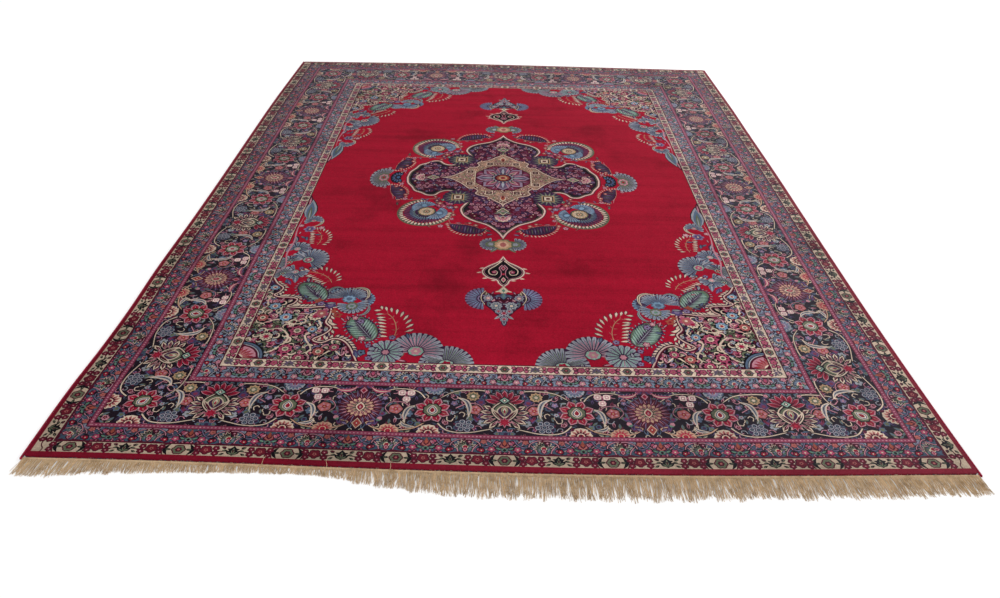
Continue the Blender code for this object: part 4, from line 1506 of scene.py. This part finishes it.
def weave(art):
    """The drawing's triangles without the hidden cuts, with each one's top shape and its piece."""
    shape_count, wools, verts, faces, tops, label, drawn_points = fill(art)
    joined, owner_of = seen_sides(verts, faces, label, drawn_points)
    used, inverse = np.unique(joined[:, :2], return_inverse=True)
    ends = inverse.reshape(-1, 2)
    across, along = np.meshgrid(np.arange(-1.45, 1.46, 0.058), np.arange(-1.95, 1.96, 0.06))
    points = np.concatenate([verts[used, 0] + 1j * verts[used, 1], (across + 1j * along).ravel()])
    made = delaunay_2d_cdt(as_vectors(points), ends.tolist(), [], 0, 1e-6, True)
    new_verts, new_faces = np.array([vert[:] for vert in made[0]]), np.array(made[2])
    number_of = np.zeros(len(points), int)
    for number, origins in enumerate(made[3]):
        number_of[origins] = number
    # Triangles that no kept side parts are one area, which has one dye.
    keys, starts, stops = halves(new_faces, len(new_verts))
    drawn_sides = np.array([edge for edge, origins in zip(made[1], made[4]) if origins])
    walls = np.min(drawn_sides, axis=1) * len(new_verts) + np.max(drawn_sides, axis=1)
    order = np.argsort(keys, kind="stable")
    same = (keys[order][1:] == keys[order][:-1]) & ~np.isin(keys[order][1:], walls)
    root = list(range(len(new_faces)))
    for one, other in zip((order[:-1][same] // 3).tolist(), (order[1:][same] // 3).tolist()):
        root[first_of(root, other)] = first_of(root, one)
    root = np.array([first_of(root, number) for number in range(len(root))])
    ways = number_of[ends]
    wanted = ways[:, 0].astype(np.int64) * len(new_verts) + ways[:, 1]
    present = starts.astype(np.int64) * len(new_verts) + stops
    where = np.argsort(present)
    found = np.clip(np.searchsorted(present[where], wanted), 0, len(present) - 1)
    hit = present[where][found] == wanted
    # Each area takes the shape that most of its outline has inside it.
    area = root[where[found[hit]] // 3]
    votes, vote = np.unique(area * shape_count + tops[owner_of[joined[hit, 2]]], return_inverse=True)
    lengths = np.linalg.norm(new_verts[ways[hit, 0]] - new_verts[ways[hit, 1]], axis=1)
    order_of = np.argsort(np.bincount(vote, lengths))
    area_top = np.full(len(new_faces), -1)
    area_top[votes[order_of] // shape_count] = votes[order_of] % shape_count
    new_tops = area_top[root]
    centres = new_verts[new_faces].mean(axis=1)
    one, two, three = (new_verts[new_faces[:, corner]] for corner in range(3))
    largest = np.zeros(len(new_faces), int)
    by_size = np.argsort(np.abs(np.cross(two - one, three - one)))
    largest[root[by_size]] = by_size
    pieces = place_of(centres)[0][largest[root]]
    one, other = order[:-1] // 3, order[1:] // 3
    beside = keys[order][1:] == keys[order][:-1]
    for _ in range(6):
        for near, far in ((one, other), (other, one)):
            blank = beside & (new_tops[near] < 0)
            new_tops[near[blank]] = new_tops[far[blank]]
            pieces[near[blank]] = pieces[far[blank]]
    return new_verts, new_faces, new_tops, pieces, wools


BOW_X, BOW_Y = 0.99, 1.45   # half sizes of the part of the field that was woven off its middle
FIELD_LEFT, FIELD_FAR = 0.010, 0.055
ALL_FAR = 0.015             # how far the rug's middle lies towards the far end
NEAR_START = 1.2            # where the near end's dip starts, and its depth
NEAR_DIP = 0.021


def bend(drawn):
    """The drawing's points where the real, uneven rug has them."""
    across, along = drawn[:, 0], drawn[:, 1]
    field = np.clip(1 - (across / BOW_X) ** 2, 0, 1) * np.clip(1 - (along / BOW_Y) ** 2, 0, 1)
    x = across - FIELD_LEFT * field
    near_end = np.sin(np.pi * np.clip((-along - NEAR_START) / (HALF_LENGTH - NEAR_START), 0, 1))
    y = along + FIELD_FAR * field + ALL_FAR * (1 - (along / HALF_LENGTH) ** 2) - NEAR_DIP * near_end
    left = read_table(LEFT_EDGE, y) * np.clip(-across / CLOTH_X, 0, 1) ** 2
    right = read_table(RIGHT_EDGE, y) * np.clip(across / CLOTH_X, 0, 1) ** 2
    x = x - left + right
    near = read_table(FRONT_EDGE, x) * np.clip(-along / HALF_LENGTH, 0, 1) ** 2
    far = read_table(BACK_EDGE, x) * np.clip(along / HALF_LENGTH, 0, 1) ** 2
    return np.stack([x, y - near + far], axis=1)


def pile_height(drawn):
    """The pile's height, rounded over at the cloth's edge."""
    depth = rim_depth(drawn)
    fall = np.clip(1 - depth / PILE_ROUND, 0, 1)
    return THICKNESS - PILE_ROUND * (1 - np.sqrt(1 - fall**2)) * 0.999


def stand(name, mesh):
    """A piece of the rug in the scene, on the rug's one body."""
    piece = bpy.data.objects.new(name, mesh)
    bpy.context.scene.collection.objects.link(piece)
    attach(piece, "root")
    return piece


def add_dye(mesh, shades, corner_counts):
    """Each face's dye, on all its corners."""
    each = np.repeat(np.asarray(shades), corner_counts, axis=0)
    four = np.column_stack([each, np.ones(len(each))])
    dye = mesh.color_attributes.new("dye", "FLOAT_COLOR", "CORNER")
    dye.data.foreach_set("color", four.astype(np.float32).ravel())


def make_pile(name, verts, faces, tops, wools, rows, material):
    """A slab of pile: the woven top, walls down to the foundation and a plain underside."""
    used, corners_of = np.unique(faces, return_inverse=True)
    corners_of = corners_of.reshape(faces.shape)
    drawn = verts[used]
    count = len(drawn)
    place = bend(drawn)
    top = np.column_stack([place, pile_height(drawn)])
    # The piece's edge is the sides that only one triangle has.
    sides = np.concatenate([corners_of[:, [0, 1]], corners_of[:, [1, 2]], corners_of[:, [2, 0]]])
    keys = np.sort(sides, axis=1) @ np.array([count, 1])
    _, first, seen = np.unique(keys, return_index=True, return_counts=True)
    rim = sides[first[seen == 1]]
    after = dict(rim.tolist())
    loop = [rim[0][0]]
    while after[loop[-1]] != loop[0]:
        loop.append(after[loop[-1]])
    loop = np.array(loop)
    low = np.column_stack([place[loop], np.full(len(loop), BASE_HEIGHT)])
    number_of = {vert: count + number for number, vert in enumerate(loop)}
    walls = []
    for here, there in zip(loop, np.roll(loop, -1)):
        walls.append((here, number_of[here], number_of[there]))
        walls.append((here, number_of[there], there))
    under = np.array(tessellate_polygon([[Vector((x, y, 0)) for x, y in place[loop]]]))
    one, two, three = (place[loop][under[:, corner]] for corner in range(3))
    faces_up = np.cross(two - one, three - one) > 0
    bottom = count + np.where(faces_up[:, None], under[:, ::-1], under)
    everything = np.concatenate([corners_of, walls, bottom])
    mesh = bpy.data.meshes.new(name)
    mesh.from_pydata(np.concatenate([top, low]).tolist(), [], everything.tolist())
    # Every shape has its wool's dye, with a little of its own.
    chance = np.random.default_rng(5)
    basic = {wool: linear(colour) for wool, colour in WOOLS.items()}
    dyes = np.array([basic[wool] for wool in wools]) * chance.uniform(0.86, 1.14, (len(wools), 1))
    shades = dyes[tops] * np.random.default_rng(9).uniform(0.97, 1.03, (len(tops), 1))
    # Painted sheen and light: faces are made lighter towards the right and darker towards the left, and the
    # right and far side, most of all the borders, are greyed towards silver where the pile's sheen would
    # lighten it.
    away = place[corners_of].mean(axis=1)
    start, sideways, lengthways = (0.0, 0.012, 0.006) if "field" in name else (0.085, 0.035, 0.030)
    painted_sheen = np.clip(start + sideways * away[:, 0] + lengthways * away[:, 1], 0, 0.16)[:, None]
    shades = shades * (1.04 + 0.12 * away[:, :1]) * (1 - painted_sheen) + linear(WOOLS["silver"]) * painted_sheen
    edge_dye = np.tile(linear(WOOLS["wine"]), (len(walls) + len(bottom), 1))
    add_dye(mesh, np.concatenate([shades, edge_dye]), 3)
    # The piece's own map: rows of the cloth side by side, with the walls and the underside above.
    low_drawn, high_drawn = drawn.min(axis=0), drawn.max(axis=0)
    size = high_drawn - low_drawn
    way = int(size[1] > size[0])
    length, width = size[way] / rows, size[1 - way] * 1.004
    from_low = np.concatenate([drawn, drawn[loop]])[everything] - low_drawn
    row = np.clip((from_low.mean(axis=1)[:, way] / length).astype(int), 0, rows - 1)[:, None]
    places = np.stack([from_low[:, :, way] - row * length, from_low[:, :, 1 - way] + row * width], axis=2)
    places /= max(rows * width, length) * 1.06
    last = len(everything) - len(bottom)
    places[last:] = places[last:] * 0.03 + 0.962
    steps = np.arange(len(walls)) // 2 / len(loop) * 0.94
    places[len(corners_of):last, :, 0] = steps[:, None] + np.array([0.0, 0.0, 0.94 / len(loop)])
    places[len(corners_of):last, :, 1] = np.where(everything[len(corners_of):last] < count, 0.99, 0.955)
    mapped = mesh.uv_layers.new(name="OFBake")
    mapped.data.foreach_set("uv", places.astype(np.float32).ravel())
    mesh.materials.append(material)
    return stand(name, mesh)


# ---- the cloth's other pieces ------------------------------------------------------------------


def finish_piece(name, verts, faces, material, shades=None, smooth=True):
    """A piece from its points and faces, with a shade for each face."""
    mesh = bpy.data.meshes.new(name)
    mesh.from_pydata(verts, [], faces)
    mesh.materials.append(material)
    if shades is not None:
        add_dye(mesh, shades, [len(face) for face in faces])
    if smooth:
        mesh.shade_smooth()
    return stand(name, mesh)


def make_foundation(material):
    """The warp and weft under the pile, one closed slab whose underside shows the knots."""
    line = cloth_edge(0.0006)
    rows = np.column_stack([line.real, line.imag])
    across, along = np.meshgrid(np.arange(-1.4, 1.41, 0.2), np.arange(-1.9, 1.91, 0.2))
    rows = np.concatenate([rows, np.column_stack([across.ravel(), along.ravel()])])
    flat = bend(rows)
    loop = list(range(len(line)))
    made = delaunay_2d_cdt([Vector(point) for point in flat], [], [loop], 1, 1e-7, True)
    count = len(made[0])
    verts = [(x, y, 0.006) for x, y in made[0]] + [(x, y, 0.0) for x, y in made[0]]
    faces = [tuple(face) for face, owner in zip(made[2], made[5]) if owner]
    faces += [tuple(count + corner for corner in face[::-1]) for face in faces]
    number_of = {}
    for number, origins in enumerate(made[3]):
        for origin in origins:
            number_of[origin] = number
    rim = [number_of[corner] for corner in loop]
    for here, there in zip(rim, rim[1:] + rim[:1]):
        faces.append((here, count + here, count + there, there))
    return finish_piece("foundation", verts, faces, material, smooth=False)


def make_selvedge(name, side, material):
    """Wool wound round the side cords, each turn its own small ridge."""
    first = float(end_y(-1, side * HALF_WIDTH)) - FRONT_STRIP_WIDTH
    last = float(end_y(1, side * HALF_WIDTH)) + BACK_STRIP_WIDTH
    rings = int((last - first) / 0.0030)
    sides = 7
    chance = np.random.default_rng(3 + side)
    along = np.linspace(first, last, rings)
    middle = side_x(side, along) + side * (SELVEDGE_RADIUS + GAP)
    radius = SELVEDGE_RADIUS * np.where(np.arange(rings) % 2, 1.0, 0.88) * chance.uniform(0.97, 1.0, rings)
    radius[[0, -1]] *= 0.6
    turns = np.arange(sides) * 2 * np.pi / sides
    x = middle[:, None] + radius[:, None] * np.cos(turns)
    y = along[:, None] + 0.0008 * np.sin(turns)
    z = SELVEDGE_RADIUS + radius[:, None] * np.sin(turns)
    verts = np.stack([x, np.broadcast_to(y, x.shape), z], axis=2).reshape(-1, 3)
    faces = []
    for ring_number in range(rings - 1):
        low = ring_number * sides
        for corner in range(sides):
            there = (corner + 1) % sides
            faces.append((low + corner, low + sides + corner, low + sides + there, low + there))
    faces.append(tuple(range(sides)))
    faces.append(tuple(range((rings - 1) * sides, rings * sides))[::-1])
    wound = linear("#8c1230") * np.repeat(chance.uniform(0.75, 1.2, rings // 2 + 1), 2)[:rings, None]
    shades = np.concatenate([np.repeat(wound[:-1], sides, axis=0), wound[:2]])
    return finish_piece(name, verts.tolist(), faces, material, shades)


def strip_reach(end):
    """Where an end strip starts and stops, from left to right."""
    return float(side_x(-1, end * HALF_LENGTH)) + GAP, float(side_x(1, end * HALF_LENGTH)) - GAP


def make_strip(name, end, width, material):
    """The flat-woven strip that closes an end: ribs of weft over the warps."""
    first, last = strip_reach(end)
    chance = np.random.default_rng(12 + end)
    columns = 700
    x = np.linspace(first, last, columns)
    inner = end_y(end, x) + end * GAP
    wander = 0.0008 * np.sin(x * 31) + 0.0005 * np.sin(x * 83 + 1)
    rows = [(0.0, 0.0), (0.0, 0.72), (0.3, 1.0), (0.5, 0.74), (0.7, 1.0), (1.0, 0.62), (1.0, 0.0)]
    verts = []
    for share, height in rows:
        out = inner + end * (width * share + (wander if share > 0.6 else 0.0))
        rise = STRIP_HEIGHT * height * (1 + 0.10 * ((np.arange(columns) % 2) - 0.5) * (height > 0))
        rise = np.minimum(rise * chance.uniform(0.93, 1.0, columns), STRIP_HEIGHT)
        verts.append(np.column_stack([x, out, rise]))
    verts = np.concatenate(verts)
    faces = []
    count = len(rows)
    for row in range(count):
        here = row * columns
        there = ((row + 1) % count) * columns
        for column in range(columns - 1):
            quad = (here + column, here + column + 1, there + column + 1, there + column)
            faces.append(quad if end > 0 else quad[::-1])
    for column in (0, columns - 1):
        cap = tuple(row * columns + column for row in range(count))
        flipped = (column == 0) == (end > 0)
        faces.append(cap if flipped else cap[::-1])
    shades = np.repeat(chance.uniform(0.8, 1.1, (len(faces), 1)), 3, axis=1)
    return finish_piece(name, verts.tolist(), faces, material, shades, False)


def yarn_mesh(paths, radii, tones):
    """Three-sided tubes along paths of the same number of points, with their shades."""
    paths = np.asarray(paths)
    count, length, _ = paths.shape
    along = np.gradient(paths, axis=1)
    along /= np.maximum(np.linalg.norm(along, axis=2, keepdims=True), 1e-9)
    side = np.cross(along, np.array([0.0, 0.0, 1.0]))
    side /= np.maximum(np.linalg.norm(side, axis=2, keepdims=True), 1e-9)
    up = np.cross(side, along)
    taper = np.linspace(1.0, 0.55, length)[None, :, None] * np.asarray(radii)[:, None, None]
    rings = []
    for turn in (90, 210, 330):
        angle = math.radians(turn)
        rings.append(paths + taper * (math.cos(angle) * side + math.sin(angle) * up))
    verts = np.stack(rings, axis=2).reshape(-1, 3)
    verts[:, 2] = np.maximum(verts[:, 2], 0.00005)
    base = np.arange(count)[:, None, None] * length * 3
    step = np.arange(length - 1)[None, :, None] * 3
    faces = []
    for corner in range(3):
        there = (corner + 1) % 3
        quad = np.array([corner, corner + 3, there + 3, there])
        faces.append((base + step + quad).reshape(-1, 4))
    faces = np.stack(faces, axis=1).reshape(-1, 4).tolist()
    ends = [(start, start + 1, start + 2) for start in range(0, count * length * 3, length * 3)]
    last_rings = range((length - 1) * 3, count * length * 3, length * 3)
    tips = [(start + 2, start + 1, start) for start in last_rings]
    per_yarn = np.repeat(np.asarray(tones)[:, None], 3, axis=1)
    shades = np.repeat(per_yarn, (length - 1), axis=0)
    shades = np.concatenate([np.repeat(shades, 3, axis=0), per_yarn, per_yarn])
    return verts.tolist(), faces + ends + tips, shades


def make_fringe(name, end, strip_width, count, steps, table, seed, material):
    """Loose warp ends side by side on the floor, in locks that each lean their own way."""
    chance = np.random.default_rng(seed)
    first, last = strip_reach(end)
    root = np.linspace(first, last, count) + chance.uniform(-0.0008, 0.0008, count)
    lock = ((root - first) / FRINGE_LOCK).astype(int)
    locks = lock.max() + 1
    middle = first + (lock + 0.5) * FRINGE_LOCK
    length = read_table(table, root, 1) * chance.uniform(0.90, 1.08, locks)[lock]
    length = length * chance.uniform(0.80, 1.04, count)
    lean = read_table(table, root, 2) + chance.normal(0, 0.05, locks)[lock]
    lean = lean + chance.normal(0, 0.07, count)
    sway = chance.normal(0, 0.0016, locks)[lock] + chance.normal(0, 0.0022, count)
    waves = chance.uniform(0.8, 1.7, count)
    lift = chance.uniform(0.0, 0.0030, count)
    share = np.linspace(0, 1, steps)[None, :]
    root, middle, length, lean, sway = (values[:, None] for values in (root, middle, length, lean, sway))
    x = root + (middle - root) * 0.10 * np.sin(np.pi * np.minimum(share * 1.3, 1.0))
    x = x + lean * length * share**1.3 + sway * np.sin(np.pi * share * waves[:, None])
    x = x + chance.normal(0, 0.0006, (count, steps)) * share
    y = end_y(end, root) + end * (strip_width * 0.7 + length * share)
    z = 0.0009 + 0.0016 * (1 - share) + lift[:, None] * np.sin(np.pi * np.minimum(share * 1.15, 1.0))
    paths = np.stack([x, y, z], axis=2)
    tones = chance.uniform(0.93, 1.07, locks)[lock] * chance.uniform(0.84, 1.14, count)
    verts, faces, shades = yarn_mesh(paths, chance.uniform(0.0009, 0.0014, count), tones)
    return finish_piece(name, verts, faces, material, shades)


def make_threads(material):
    """Three pulled warp ends that lie back over the near edge."""
    paths = []
    for x, lean in ((-0.757, 0.006), (-0.553, -0.004), (-0.356, 0.003)):
        share = np.linspace(0, 1, 9)
        start = float(end_y(-1, x)) - 0.006
        rise = np.interp(share, (0, 0.10, 0.2, 1.0), (0.003, 0.0080, 0.0102, 0.0102))
        across = x + lean * share + 0.0015 * np.sin(share * 7)
        paths.append(np.column_stack([across, start + 0.034 * share, rise]))
    verts, faces, shades = yarn_mesh(paths, [0.0008] * 3, [1.25] * 3)
    return finish_piece("pulled_threads", verts, faces, material, shades)


def make_floor():
    """The pale floor that the rug lies on."""
    mesh = bpy.data.meshes.new("floor")
    mesh.from_pydata([(-14, -10, 0), (14, -10, 0), (14, 20, 0), (-14, 20, 0)], [], [(0, 1, 2, 3)])
    floor = bpy.data.objects.new("floor", mesh)
    floor.location.z = -0.0002
    material, _, shader = new_material("pale floor", 0.9)
    shader.inputs["Base Color"].default_value = tint("#ffffff")
    mesh.materials.append(material)
    bpy.context.scene.collection.objects.link(floor)


def make_world():
    world = bpy.data.worlds.new("studio")
    world.use_nodes = True
    world.node_tree.nodes["Background"].inputs["Color"].default_value = (1, 1, 1, 1)
    world.node_tree.nodes["Background"].inputs["Strength"].default_value = 1.0
    bpy.context.scene.world = world
    bpy.context.scene.view_settings.view_transform = "Standard"


def main():
    make_camera()
    make_world()
    make_floor()
    add_light("key", (5.0, 3.5, 3.2), (0, 0, 0), 3.0, 90)
    pile = wool_pile()
    yarn = cotton("cotton warp", "#d4b793", "#a98a67", 30.0)
    wound, tree, shader = new_material("overcast wool", 0.85, 0.2)
    dyed = add(tree, "Attribute", {"attribute_name": "dye"}).outputs["Color"]
    tree.links.new(dyed, shader.inputs["Base Color"])
    back = knotted_back()

    verts, faces, tops, pieces, wools = weave(whole_rug())
    parts = []
    for number, name in enumerate(PILE_PIECES):
        here = pieces == number
        parts.append(make_pile(name, verts, faces[here], tops[here], wools, PILE_ROWS[number], pile))

    base = make_foundation(back)
    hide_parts("carpet")
    for name, way in (("selvedge_left", -1), ("selvedge_right", 1)):
        wrap = make_selvedge(name + "_wool", way, wound)
        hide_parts(name)
        parts.append(wrap)
    near_strip = make_strip("end_strip_near", -1, FRONT_STRIP_WIDTH, yarn)
    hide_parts("fringe_front")
    far_strip = make_strip("end_strip_far", 1, BACK_STRIP_WIDTH, yarn)
    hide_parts("fringe_back")
    parts += [near_strip, far_strip]
    parts.append(make_fringe("fringe_near", -1, FRONT_STRIP_WIDTH, NEAR_YARNS, 6, FRONT_FRINGE, 3, yarn))
    parts.append(make_fringe("fringe_far", 1, BACK_STRIP_WIDTH, FAR_YARNS, 4, BACK_FRINGE, 8, yarn))
    parts.append(make_threads(yarn))


main()
